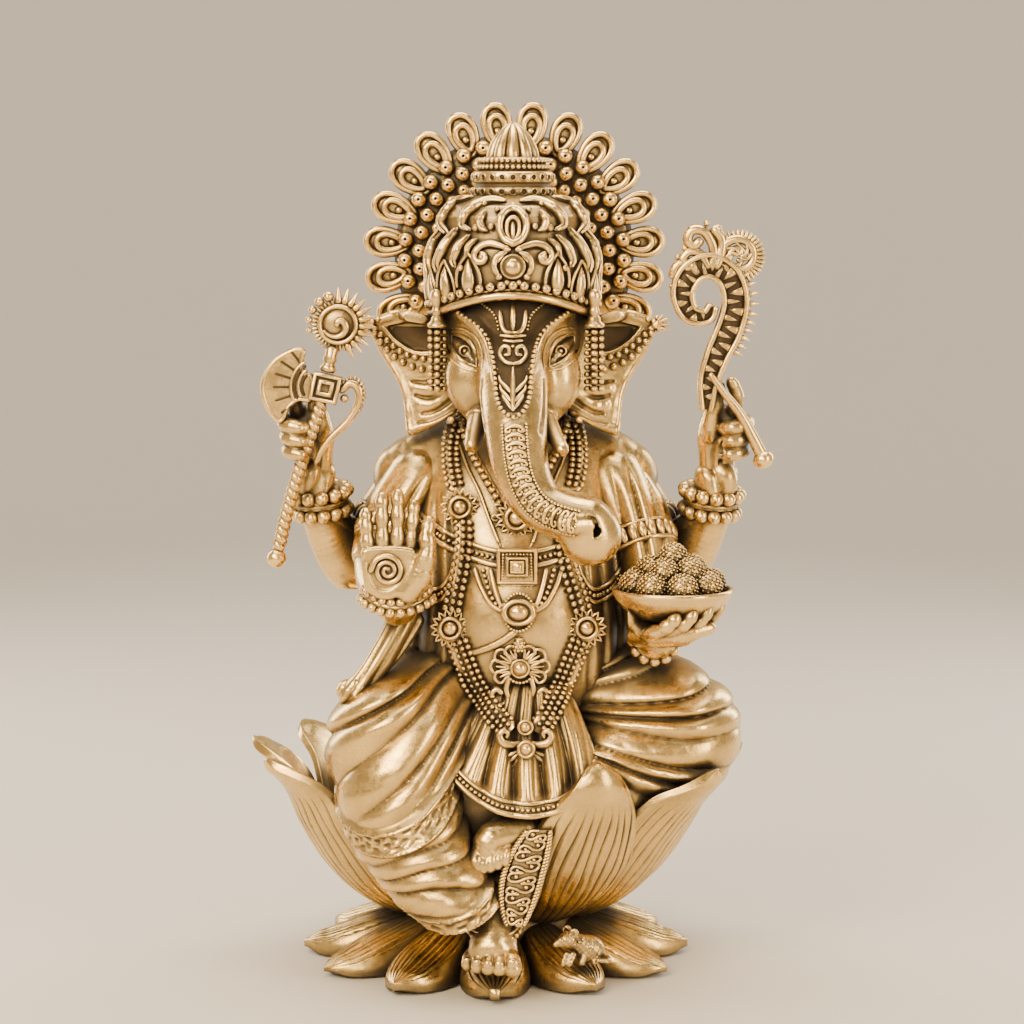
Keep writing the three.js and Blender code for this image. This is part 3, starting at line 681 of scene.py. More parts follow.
def upper_petal(index):
    """A tall cupped petal with engraved veins below a smooth, outward-rolled lip."""
    turn = math.radians(FIRST_PETAL + index * PETAL_STEP + (3 if index == 0 else 0))
    side_up = 1 if index < UPPER_PETALS / 2 else -1  # the edge that lies over the next petal
    height = 1 + 0.035 * math.sin(3.1 * index + 0.5)
    flare = 0.0 if index == 0 else 1.0
    splay = 1.0 if index == 1 else 0.0  # this one leans clear of the left knee
    spine = curve([(31, 0, 18.2), (40, 0, 20.5), (52, 0, 28), (62, 0, 39), (69.5 + 1.5 * splay, 0, 52),
                   (74.0 + 4.5 * splay, 0, 63 - splay),
                   (lerp(75, 80, flare) + 5.5 * splay, 0, 71.5 - 1.5 * splay),
                   (lerp(72, 86.5, flare) + 5.0 * splay, 0, lerp(79, 76, flare))], 84)
    along = np.gradient(spine, axis=0)
    out = np.stack([along[:, 2], -along[:, 0]], axis=1)
    out /= np.linalg.norm(out, axis=1, keepdims=True)

    def place(u, v, w):
        r0, z0 = spine[:, :1], spine[:, 2:]
        narrowing = np.clip((u - 0.46) / 0.541, 0, 1)
        half = UPPER_HALF * lerp(0.50, 1, smooth(u, -0.1, 0.5)) * (1 - narrowing ** 2.0) ** 0.60
        broad = half / UPPER_HALF
        lip = smooth(u, 0.80, 1.0)
        roll = np.exp(-((1 - np.abs(v)) / 0.09) ** 2) * smooth(u, 0.1, 0.4)
        thick = lerp(1.5, 2.7, smooth(u, 0.5, 0.85)) * (1 - smooth(u, 0.93, 1.0) ** 2) ** 0.5
        thick = 0.12 + thick * (1 - 0.5 * v * v * smooth(u, 0.4, 0.8))
        wander = 0.035 * np.sin(5 * u + 1.3 * index) + 0.02 * np.sin(11 * u + 9 * v)
        cut = 1.3 * veins(v * (1.05 - 0.2 * u), 11, wander) * (w > 0)
        cut = cut * smooth(u, 0.02, 0.12) * (1 - smooth(u, 0.66, 0.84))
        cut = cut * (1 - smooth(np.abs(v), 0.86, 0.95))
        offset = w * thick - cut + 0.5 * roll * w - 6.5 * v * v * broad * (1 - 0.9 * lip)
        offset = offset + 1.7 * side_up * v * broad * (1 - lip) + 2.2 * (1 - v * v) * broad * lip
        r = r0 + offset * out[:, :1]
        z = (z0 + offset * out[:, 1:] - 20) * height + 20 - 4.5 * v * v * u * u * broad
        return swung(turn, r, v * half, z, LOTUS_DEPTH)

    name = f"lotus_petal_{index + 1:02d}"
    return cast(name + "_casting", Casting().leaf(place, 84, 300), LOTUS, name)


# ---- Body ----

# height, half-width, half-depth and middle y
TORSO_ROWS = [(64, 28, 24, 3), (71, 35, 31, 2), (80, 36, 33, 1), (96, 38, 36, -2), (112, 40, 39, -3),
              (128, 40, 40, -3), (145, 37, 36, -2), (160, 36, 31, 0), (174, 33, 26, 2), (184, 22, 20, 4),
              (192, 15, 16, 4)]


def torso():
    """The bare belly with the shawl's folds at its sides and over its back."""
    clay = Clay.around(["torso"], 0.74, 18)
    clay.barrel(TORSO_ROWS, BODY_X)
    half_shoulders = [(38, 3, 170, 11), (22, 4, 178, 12)]
    nape = (BODY_X, 5, 181, 13)
    clay.limb([*sided(LEFT, half_shoulders), nape, *sided(RIGHT, half_shoulders)[::-1]], blend=10,
              count=12)

    def shawl(x, y, z):
        """Vertical folds down each side of the chest and over the back, smooth between them."""
        off = np.abs(x - BODY_X)
        warp = ripple((x, y, z), 26)
        front = smooth(off, 21, 25) * (1 - smooth(y, -2, 9))
        drop = fold(off / 5.6 + 0.5 * warp + 0.008 * z, 0.8) * 1.7 + 1.2
        back = smooth(y, 0, 12)
        sweep = fold((x + 0.75 * z) / 8.5 + 0.6 * warp, 0.8) * 1.9 + 0.9
        upper = front * drop * (1 - 0.85 * smooth(z, 152, 170))
        upper = upper + back * sweep * (1 - 0.6 * smooth(z, 160, 172))
        pleat = smooth(y, -4, 10) * fold(np.arctan2(x - BODY_X, y + 4) * 4.6 + 0.4 * warp, 0.65) * 2.0
        return upper * smooth(z, 92, 104) + pleat * (1 - smooth(z, 88, 95))

    clay.press(shawl)
    return cast("draped_torso", Casting().clay(clay), CLOTH, "torso")


BAND_WAY = unit((0.40, 0.50, -0.86))  # along the right shin, down


def right_leg():
    """The raised right leg: a thigh, a shin wrapped in cloth and its two openwork bands."""
    clay = Clay.around(["right_leg"], 0.61, 6)
    clay.limb([(-2, 4, 93, 22), (-19, -18, 93, 22.5), (-32.5, -37, 86, 21.2)], blend=8)
    clay.limb([(-32.5, -38, 81, 22.4), (-31.5, -45, 64, 20.5), (-23, -52, 46, 16.5),
               (-10, -56, 31, 12.5)], blend=8)

    def drape(x, y, z):
        down = BAND_WAY[0] * x + BAND_WAY[1] * y + BAND_WAY[2] * z
        warp = ripple((x, y, z), 22)
        away = np.sqrt((x - 24) ** 2 + (z - 128) ** 2)
        fan = np.arctan2(128 - z, 24 - x) / 0.135 + 0.010 * y
        thigh = 1.4 * drapery(fan, warp, 0.62) * np.clip(0.040 * away, 0, 2.7)
        thigh = thigh * (1 - smooth(down, -98, -90))
        thigh = thigh * (1 - 0.35 * smooth(-x, 30, 46) * smooth(-y, 30, 50) * smooth(98 - z, 0, 14))
        wraps = drapery(down / 7.0 - 0.018 * (x + 24) ** 2 / 7, warp, 0.62) * 2.7
        wraps = wraps * smooth(down, -85, -81) * (1 - smooth(down, -63, -60))
        swing = np.arctan2(x + 24, -(y + 30))
        openwork = np.sin(swing * 34) * np.sin(down * 2.4) + 0.4 * np.sin(swing * 51 + down)
        cords = ((90.6, 0.8), (84.6, 0.8), (60.4, 0.7), (55.6, 0.7))
        rope = sum(groove(down + place, width) for place, width in cords)
        trim = smooth(down, -90, -89.4) * (1 - smooth(down, -85.8, -85.2))
        trim = trim + smooth(down, -60, -59.4) * (1 - smooth(down, -56.4, -56))
        return thigh + wraps + 1.5 * rope + trim * (0.5 + 0.55 * np.clip(openwork, -0.9, 0.9))

    clay.press(drape)
    spans, (x, y, z) = clay.grid()
    down = BAND_WAY[0] * x + BAND_WAY[1] * y + BAND_WAY[2] * z
    clay.cut(spans, -54.8 - down, 0.6)
    return cast("draped_right_leg", Casting().clay(clay), CLOTH, "right_leg")


def left_leg():
    """The folded left leg, its folds fanning out from the hip."""
    clay = Clay.around(["left_leg"], 0.56, 6)
    clay.limb([(20, 4, 92, 22), (44, -14, 91, 22.5), (62, -24, 85, 21)], blend=8)
    clay.limb([(61, -24, 82, 19.8), (38, -36, 71, 15.5), (15, -43, 61, 10.5), (5, -47, 55, 7.5)], blend=8)

    def drape(x, y, z):
        warp = ripple((x, y, z), 24, 2.0)
        away = np.sqrt((x - 4) ** 2 + (z - 90) ** 2)
        fan = np.arctan2(z - 90, x - 4) / 0.145 + 0.01 * y
        folds = 1.4 * drapery(fan, warp, 0.62) * np.clip(0.04 * away, 0, 2.7)
        return folds * (1 - 0.6 * smooth(x, 66, 82))

    clay.press(drape)
    return cast("draped_left_leg", Casting().clay(clay), CLOTH, "left_leg")


# ---- Head, trunk and tusks ----

FACE_X = middle("head")[0]
EYE = (16.4, 215.0)  # from the middle of the face, and height
PANEL = [(194.6, 0.0), (196.5, 3.2), (200.8, 5.3), (208.3, 6.1), (215.7, 7.3), (222, 10.3), (228, 18.3),
         (232, 23)]
BAND_LINE = [(0.4, 192.5), (0.8, 186), (1.6, 180), (3.2, 174.2), (6.2, 168.8), (10.5, 165), (15.5, 162.9),
             (20.5, 161.6)]


def faced(side, points):
    """Points given on the left of the face, measured from its middle plane."""
    return [(FACE_X + side * x, *rest) for x, *rest in points]


def eye_lines(side, points):
    """[x, z] points from [along, across] points of an eye, along pointing down to its inner corner."""
    return [(FACE_X + side * (EYE[0] - 0.70 * s + 0.70 * -t), EYE[1] - 0.71 * s + 0.71 * t)
            for s, t in points]


def head():
    """The head with its brow ridges, eyes and cheeks, and the trunk with its coiled tip."""
    clay = Clay.around(["head", "trunk"], 0.5, 4)
    x, z = middle("trunk")[0] + 13, low("trunk")[2] + 9.9
    clay.egg((FACE_X, -6, 221), (25, 27, 24.5))
    clay.egg((FACE_X, -17, 225), (20.5, 19.5, 15), 4)
    clay.limb([(FACE_X, -17, 216, 19.5), (FACE_X, -29, 204, 14.5)], blend=5)
    clay.limb([(FACE_X, -8, 205, 15), (FACE_X, -4, 188, 15)], blend=6)
    for side in (RIGHT, LEFT):
        clay.egg(faced(side, [(14.5, -25, 206)])[0], (8.6, 9.5, 12.5), 3)
        clay.egg(faced(side, [(11.5, -27, 197)])[0], (6, 7.5, 7), 3)
    line = faced(LEFT, [(0, -27, 216, 12.4), (0.2, -37.5, 204, 11.7), (1, -49, 190, 10.4),
                        (3, -57.5, 177, 9.1), (8, -62.3, 167.5, 8.3), (16, -64, 163.3, 7.9),
                        (24, -64, 161.3, 8.2)])
    clay.limb(line, blend=1.4, count=40)
    clay.egg((x, -62.3, z), (10.3, 9.6, 10.4), 2.5)
    clay.limb([(x - 2.0, -69.5, z + 4.6, 3.6), (x - 7.4, -71.6, z + 4.6, 3.9)], blend=0.7)
    clay.limb([(x - 6.2, -76.6, z + 5.6, 1.6), (x - 8.2, -76.6, z + 5.4, 1.7)], blend=0.6, carve=True)
    clay.limb([(x + 2.0, -76, z + 2.3, 1.3), (x + 2.0, -68, z + 2.1, 1.2)], blend=0.6, squash=(1, 1, 1.3),
              carve=True)
    clay.trace([(x - 1, z + 7.2, 0.5), (x + 1.6, z + 5.5, 0.7), (x + 1.2, z + 0.5, 0.5)], carve=True,
               blend=0.5)
    for side in (RIGHT, LEFT):
        clay.trace(faced(side, [(5.6, 210, 1.6), (7.2, 216, 2.2), (9.6, 221.5, 2.5), (14, 226, 2.4),
                                (20, 228.2, 1.6)]), sink=0.35, blend=2.2)
        socket = eye_lines(side, [(-5.8, 0), (-2, 0.3), (2, 0.2), (5.6, -0.2)])
        clay.trace([(*p, r) for p, r in zip(socket, (1.4, 2.7, 2.7, 1.2))], sink=0.0, blend=0.9,
                   carve=True)
        ball = eye_lines(side, [(-4.4, 0.1), (-1.2, 0.3), (1.4, 0.2), (4.2, -0.1)])
        clay.trace([(*p, r) for p, r in zip(ball, (1.3, 2.5, 2.5, 1.2))], sink=0.15, blend=0.3)
        clay.trace(faced(side, [(10.2, 206, 0.5), (10.6, 200, 0.9), (10, 194, 1.0), (9, 190, 0.6)]),
                   sink=0.1, blend=0.9, carve=True)

    def relief(x, y, z):
        half = np.interp(z, *zip(*PANEL))
        panel = smooth(half - np.abs(x - FACE_X), -0.4, 0.7) * (y < -18) * (z > 194) * (z < 234)
        return -1.5 * panel

    clay.press(relief)
    return cast("head_and_trunk", Casting().clay(clay), SKIN, "head", "trunk")


def eyes(wall):
    """Lids, pupils and brows, as rods laid on the face."""
    lids = Casting()
    for side in (RIGHT, LEFT):
        for radius, line in ((0.85, [(-6.6, 0.6), (-4.4, 2.7), (-0.6, 3.7), (3.4, 2.5), (6.6, -0.5)]),
                             (0.75, [(-6.4, 0.2), (-4.2, -1.9), (-0.4, -2.9), (3.4, -2.1), (6.4, -0.6)]),
                             (0.62, [(-8.2, 2.2), (-5.0, 5.2), (-0.4, 6.2), (4.4, 4.4), (8.2, 0.4)]),
                             (0.42, [(-7.4, -1.4), (-4.6, -4.0), (-0.2, -5.0), (4.0, -3.9),
                                     (7.4, -1.4)])):
            taper = radius * np.sin(np.linspace(0.25, math.pi - 0.25, 30)) ** 0.5
            lids.tube(wall.lay(eye_lines(side, line), 0.1, 30), taper, 8)
        (x, z), = eye_lines(side, [(0.2, 0.2)])
        y = wall.front(x, z)
        lids.turned([(1.35, -1), (1.35, 0.25), (1.75, 0.45), (2.1, 0.3), (2.2, -1)], (x, y, z),
                    (0, -1, 0), 20)
        lids.bead((x, y + 0.2, z), 0.9, (0, -1, 0))
        brow = faced(side, [(6.6, 205.5), (7.9, 213), (9.7, 219.3), (13.5, 224.4), (20.5, 228.6)])
        lids.tube(wall.lay(brow, -0.3, 36), 0.7 * np.sin(np.linspace(0.3, math.pi - 0.3, 36)) ** 0.5, 8)
    cast("eyelids", lids, SKIN)


def swelling(shares, radii, count):
    """The radii of a rod whose radius is given at some shares of its length."""
    return np.interp(np.linspace(0, 1, count), shares, radii)


def slimmed(radius, taper, count):
    """The radii of a rod that is thinner at its ends by taper."""
    return radius * (1 - taper * np.abs(np.linspace(-1, 1, count)) ** 3)


def on_wall(casting, wall, points, radius, lift=0.15, count=24, taper=0.35, side=None):
    """A rod over a surface through [x, z] points, on both sides of the face unless one is given."""
    for mirror in (RIGHT, LEFT) if side is None else (side,):
        casting.tube(wall.lay(faced(mirror, points), lift, count), slimmed(radius, taper, count), 8)


def inlay(name, wall, rows, lift=0.12):
    """A dark sheet over a sunk area, from [z, left, right] rows."""
    rows = curve([(z, a, b) for z, a, b in rows], 44)
    sheet = []
    for z, a, b in rows:
        line = [(x, wall.front(x, z) - lift, z) for x in np.linspace(a, b, 26)]
        sheet.append(line + [(x, y + 1.2, z) for x, y, z in line[::-1]])
    return cast(name, Casting().loft(np.array(sheet)), INLAY)


def forehead(wall):
    """The beaded panel between the eyes: trident, scroll and leaf spray."""
    gold = Casting()
    inlay("forehead_ground", wall, [(z, FACE_X - h + 0.5, FACE_X + h - 0.5) for z, h in PANEL[1:-1]]
          + [(230.5, FACE_X - 21, FACE_X + 21)])
    half = {z: h for z, h in PANEL}
    rim = [(h, z) for z, h in sorted(half.items(), reverse=True)][1:]
    left = wall.lay(faced(RIGHT, rim), 0.15, 60)
    right = wall.lay(faced(LEFT, rim), 0.15, 60)
    gold.string(np.vstack([left, right[::-1][1:]]), 0.95, 2.15, (0, -1, 0.2), sides=9)
    for side in (RIGHT, LEFT):
        gold.string(wall.lay(faced(side, [(10.2, 231), (7.2, 228.6), (5.4, 225.8), (4.8, 222.6)]), 0.15,
                             20), 0.62, 2.15)
    spear = [(0, 222.2), (0, 226), (0, 231.4)]
    on_wall(gold, wall, spear, 1.05, 0.7, 20, 0.75, LEFT)
    on_wall(gold, wall, [(0.4, 221.6), (2.6, 222.0), (3.9, 224.6), (4.3, 228.6)], 0.90, 0.7)
    on_wall(gold, wall, [(-4.0, 220.6), (0, 220.3), (4.0, 220.6)], 0.70, 0.6, 16, 0.2, LEFT)
    on_wall(gold, wall, [(-3.1, 219.0), (0, 218.7), (3.1, 219.0)], 0.60, 0.6, 16, 0.2, LEFT)
    on_wall(gold, wall, [(0, 211.6), (2.6, 212.2), (4.4, 214.4), (3.4, 217.0), (1.4, 216.6), (1.4, 214.6),
                         (2.6, 214.4)], 0.85, 0.6, 34)
    x, z = FACE_X, 217.0
    gold.bead((x, wall.front(x, z), z), 0.85)
    on_wall(gold, wall, [(0, 196.8), (0, 203), (0, 210.4)], 0.95, 0.6, 20, 0.6, LEFT)
    for z, reach in ((204.4, 4.6), (201.6, 4.3), (199.2, 3.4)):
        on_wall(gold, wall, [(0.2, z - 2.2), (0.5 * reach, z - 0.2), (0.9 * reach, z + 1.6),
                             (reach, z + 3.2)], 0.78, 0.5, 16, 0.6)
    cast("forehead_ornament", gold, JEWEL)


def trunk_chain(wall):
    """A chain of paired curls down the middle of the trunk."""
    gold = Casting()
    line = curve([(FACE_X + x, 0, z) for x, z in BAND_LINE], 200)
    links = 15
    along = directions(line[:, ::2])
    across = sideways(along)

    def at(share, side, forward):
        i = int(np.clip(round(share * 199), 0, 199))
        x, z = line[i, ::2] + side * across[i] + forward * along[i]
        return (x, z)

    step = length(line) / links
    for link in range(links):
        share = (link + 0.5) / links
        for side in (RIGHT, LEFT):
            curl = [at(share, side * s, f * step) for s, f in
                    ((0.1, -0.42), (1.4, -0.32), (2.7, -0.08), (2.8, 0.24), (1.7, 0.30), (1.4, 0.06))]
            gold.tube(wall.lay(curl, 0.3, 16), 0.78 * (1 - 0.35 * np.linspace(0, 1, 16)), 8)
            x, z = at(share, side * 0.9, 0.46 * step)
            gold.bead((x, wall.front(x, z) - 0.2, z), 0.62, sides=8)
    for side in (-3.9, 3.9):
        edge = [at(share, side, 0) for share in np.linspace(0, 1, 14)]
        gold.string(wall.lay(edge, 0.1, 60), 0.62, 1.9, sides=8)
    cast("trunk_chain", gold, JEWEL)


def tusks():
    """The short broken right tusk and the longer left one, each with a collar."""
    stations = {RIGHT: [(9.5, -30, 197, 3.9), (12, -38, 191, 3.5), (13.6, -44.5, 184.6, 2.6)],
                LEFT: [(9.5, -32, 196, 3.7), (12.5, -43, 190, 3.2), (16.2, -54.5, 184, 2.3)]}
    for name, side in (("broken_right_tusk", RIGHT), ("left_tusk", LEFT)):
        line = np.array(curve(faced(side, stations[side]), 24))
        tusk = Casting().tube(line[:, :3], line[:, 3], 20)
        collar = line[9 if side == RIGHT else 6]
        way = line[10, :3] - line[5, :3]
        tusk.turned([(collar[3], -0.8), (collar[3] + 0.7, -0.4), (collar[3] + 0.7, 0.4),
                     (collar[3], 0.8)], collar[:3], way, 20)
        cast(name + "_casting", tusk, SKIN, name)


# ---- Ears ----

EAR = [(19, 228), (31, 224.6), (38, 226.8), (45, 226), (50, 222.3), (46.8, 214.4), (42.4, 207.4),
       (39.3, 202.4), (37.8, 197), (37.3, 191.8), (37.3, 186.8), (36.0, 184.2), (33, 185.4), (26, 189.2),
       (20, 192.8), (16, 197), (16, 206), (17, 216)]


def ear(side):
    name = SIDE_WORD[side] + "_ear"
    clay = Clay.around([name], 0.42, 4)

    def level(x, z):
        t = np.clip((np.abs(x - FACE_X) - 17) / 33, 0, 1)
        return lerp(-11.5, -3.5, t) + 2.5 * np.sin(np.pi * t) * smooth(z, 180, 225)

    clay.plate(faced(side, EAR), level, 2.5, rounding=1.8)
    clay.plate(faced(side, [(27, 222.4), (36.5, 223.6), (43.4, 222.0), (40, 217.4), (34, 213.9),
                            (27, 213.2)]), lambda x, z: level(x, z) - 3.2, 2.6, 0.8, carve=True)
    clay.trace(faced(side, [(28, 224.6, 1.5), (36, 226.3, 1.9), (43, 225.4, 1.8), (48.6, 222.8, 1.2)]),
               0.2, 0.8)
    clay.trace(faced(side, [(28, 212.4, 0.6), (34.4, 213, 0.7), (40.6, 216.8, 0.7), (44.6, 221.4, 0.6)]),
               0.1, 0.5)
    clay.trace(faced(side, [(48.4, 220.4, 0.8), (44.4, 212.6, 1.0), (40, 205.6, 1.0), (37.0, 199, 1.0),
                            (35.7, 190, 1.2), (35, 186.4, 1.2)]), 0.4, 1.0)
    clay.trace(faced(side, [(35, 186.6, 1.6), (29, 188.8, 1.7), (21, 193.4, 1.5)]), 0.35, 1.0)
    creases = ([(34.5, 203.4, 0.5), (31, 202.8, 0.9), (26, 203.6, 0.6)],
               [(33.4, 198.6, 0.5), (29, 197.6, 0.9), (23, 199, 0.6)],
               [(31, 192.3, 0.5), (27, 193.6, 1.0), (21, 197.6, 1.2), (17, 201, 0.8)],
               [(32.5, 189.2, 0.4), (27, 190.8, 0.8), (20, 195, 1.0)])
    bulges = ([(31.5, 195.4, 1.2), (27, 195.4, 1.8), (21, 200, 1.6)],
              [(33, 201, 1.2), (28, 200.6, 1.6), (22, 202.4, 1.4)])
    for crease in creases:
        clay.trace(faced(side, crease), 0.0, 0.9, carve=True)
    for bulge in bulges:
        clay.trace(faced(side, bulge), 0.7, 1.6)
    piece = cast(name + "_casting", Casting().clay(clay), SKIN, name)
    wall = Wall(piece)
    gold = Casting()
    upper = [(47.6, 221.4), (44.4, 218.2), (41, 215.2), (36.8, 212.6), (31, 211.2), (28, 211)]
    lower = [(47.8, 219.8), (44.6, 215.4), (40.4, 211.4), (35.6, 208.8), (31, 207.6), (28, 207.4)]
    for line, radius in ((upper, 0.95), (lower, 1.05)):
        gold.string(wall.lay(faced(side, line), 0.5, 60), 1.28 * radius, 2.5, (0, -1, 0), sides=10)
    rows = ((213.9, 27.6, 32), (216, 27.4, 37), (218.5, 27.2, 40), (220.8, 27.2, 41.6),
            (222.0, 27.4, 40.5))
    inlay(name + "_ground", wall, [(z, FACE_X + side * a, FACE_X + side * b) for z, a, b in rows])
    for x, z, radius in ((48.6, 223.6, 1.2), (50.3, 221.4, 1.3), (49.6, 225.2, 0.9), (46.6, 224.4, 1.0)):
        gold.bead(faced(side, [(x, -6.8, z)])[0], radius)
    for turn in (-0.5, 0.1, 0.7, 1.3):
        tip = (50.5 + 3.4 * math.cos(turn), -6.6, 222.5 + 3.4 * math.sin(turn))
        gold.tube(curve(faced(side, [(48.5, -6.8, 222.3), (49.8, -7.4, 222.6 + math.sin(turn)), tip]), 8),
                  np.linspace(1.1, 0.4, 8), 8)
    gold.tube(wall.lay(faced(side, [(28, 213.2), (34.2, 213.6), (40.4, 217.4), (44.2, 221.6)]), 0.1, 30),
              0.35, 6)
    cast(name + "_swags", gold, JEWEL)


def tassel(side):
    """Three columns of beads below a turned cap and a fluted stem."""
    name = SIDE_WORD[side] + "_ear_tassel"
    x, y = middle(name)[0], low(name)[1] + 2.2
    gold = Casting()
    cap = [(0.01, 4.6), (1.0, 4.5), (1.7, 4.0), (2.2, 3.2), (2.4, 2.2), (3.3, 1.4), (3.7, 0.7),
           (3.5, 0.2), (3.0, 0), (0.01, 0)]
    gold.turned(cap, (x, y, 222.6), (0, 0, 1), 28)
    stem = curve([(1.5, 0, 0), (1.9, 0, 1.5), (1.6, 0, 3), (2.1, 0, 4.4), (2.6, 0, 6.4), (2.2, 0, 8.2),
                  (1.4, 0, 9)], 20)
    gold.turned(stem[:, ::2], (x, y, 226.6), (0, 0, 1), 24)
    rows = 9
    for row in range(rows):
        z = 221.2 - row * 2.42
        gold.bead((x, y - 0.7, z), 1.42, (0, 0, 1), 0.82)
        for step in (-1, 1):
            gold.bead((x + 2.35 * step, y + 0.2, z), 1.12, (0, 0, 1), 0.95)
            gold.bead((x + 1.6 * step, y + 2.4, z), 1.0, (0, 0, 1), 0.95)
    gold.turned([(0.8, -21.6), (0.8, 0)], (x, y + 1.2, 222.8), (0, 0, 1), 10)
    cast(name + "_casting", gold, JEWEL, name)


# ---- Crown ----

CROWN_Y = middle("crown_tiers")[1]
CROWN = [(226, 27.4), (232, 28.6), (238, 29.6), (244, 30.0), (249, 29.4), (253, 27.2), (256, 26.6),
         (260, 26.2), (263.5, 23.6), (266, 18.5), (267.4, 14.2)]
CROWN_DEPTH = 1.03


def crown_radius(z):
    """The dome's radius at a height."""
    return np.interp(z, *zip(*CROWN))


def on_crown(turn, z, lift=0.0):
    """A point on the dome, turn radians round from the front towards the figure's left."""
    r = crown_radius(z) + lift
    return np.stack([FACE_X + r * np.sin(turn), CROWN_Y - CROWN_DEPTH * r * np.cos(turn), z + 0 * turn],
                    axis=-1)


def crown_line(side, points, lift=0.2, count=30):
    """A line over the dome's front through [x from the middle, z] points."""
    flat = curve([(x, 0, z) for x, z in points], count)
    turn = np.arcsin(np.clip(side * flat[:, 0] / crown_radius(flat[:, 2]), -0.999, 0.999))
    return on_crown(turn, flat[:, 2], lift)


def rim_height(turn):
    """The height of the crown's rim, which rises in an arch over the face."""
    return 226.6 + 7.4 * np.clip(np.cos(turn), 0, 1) ** 2.4


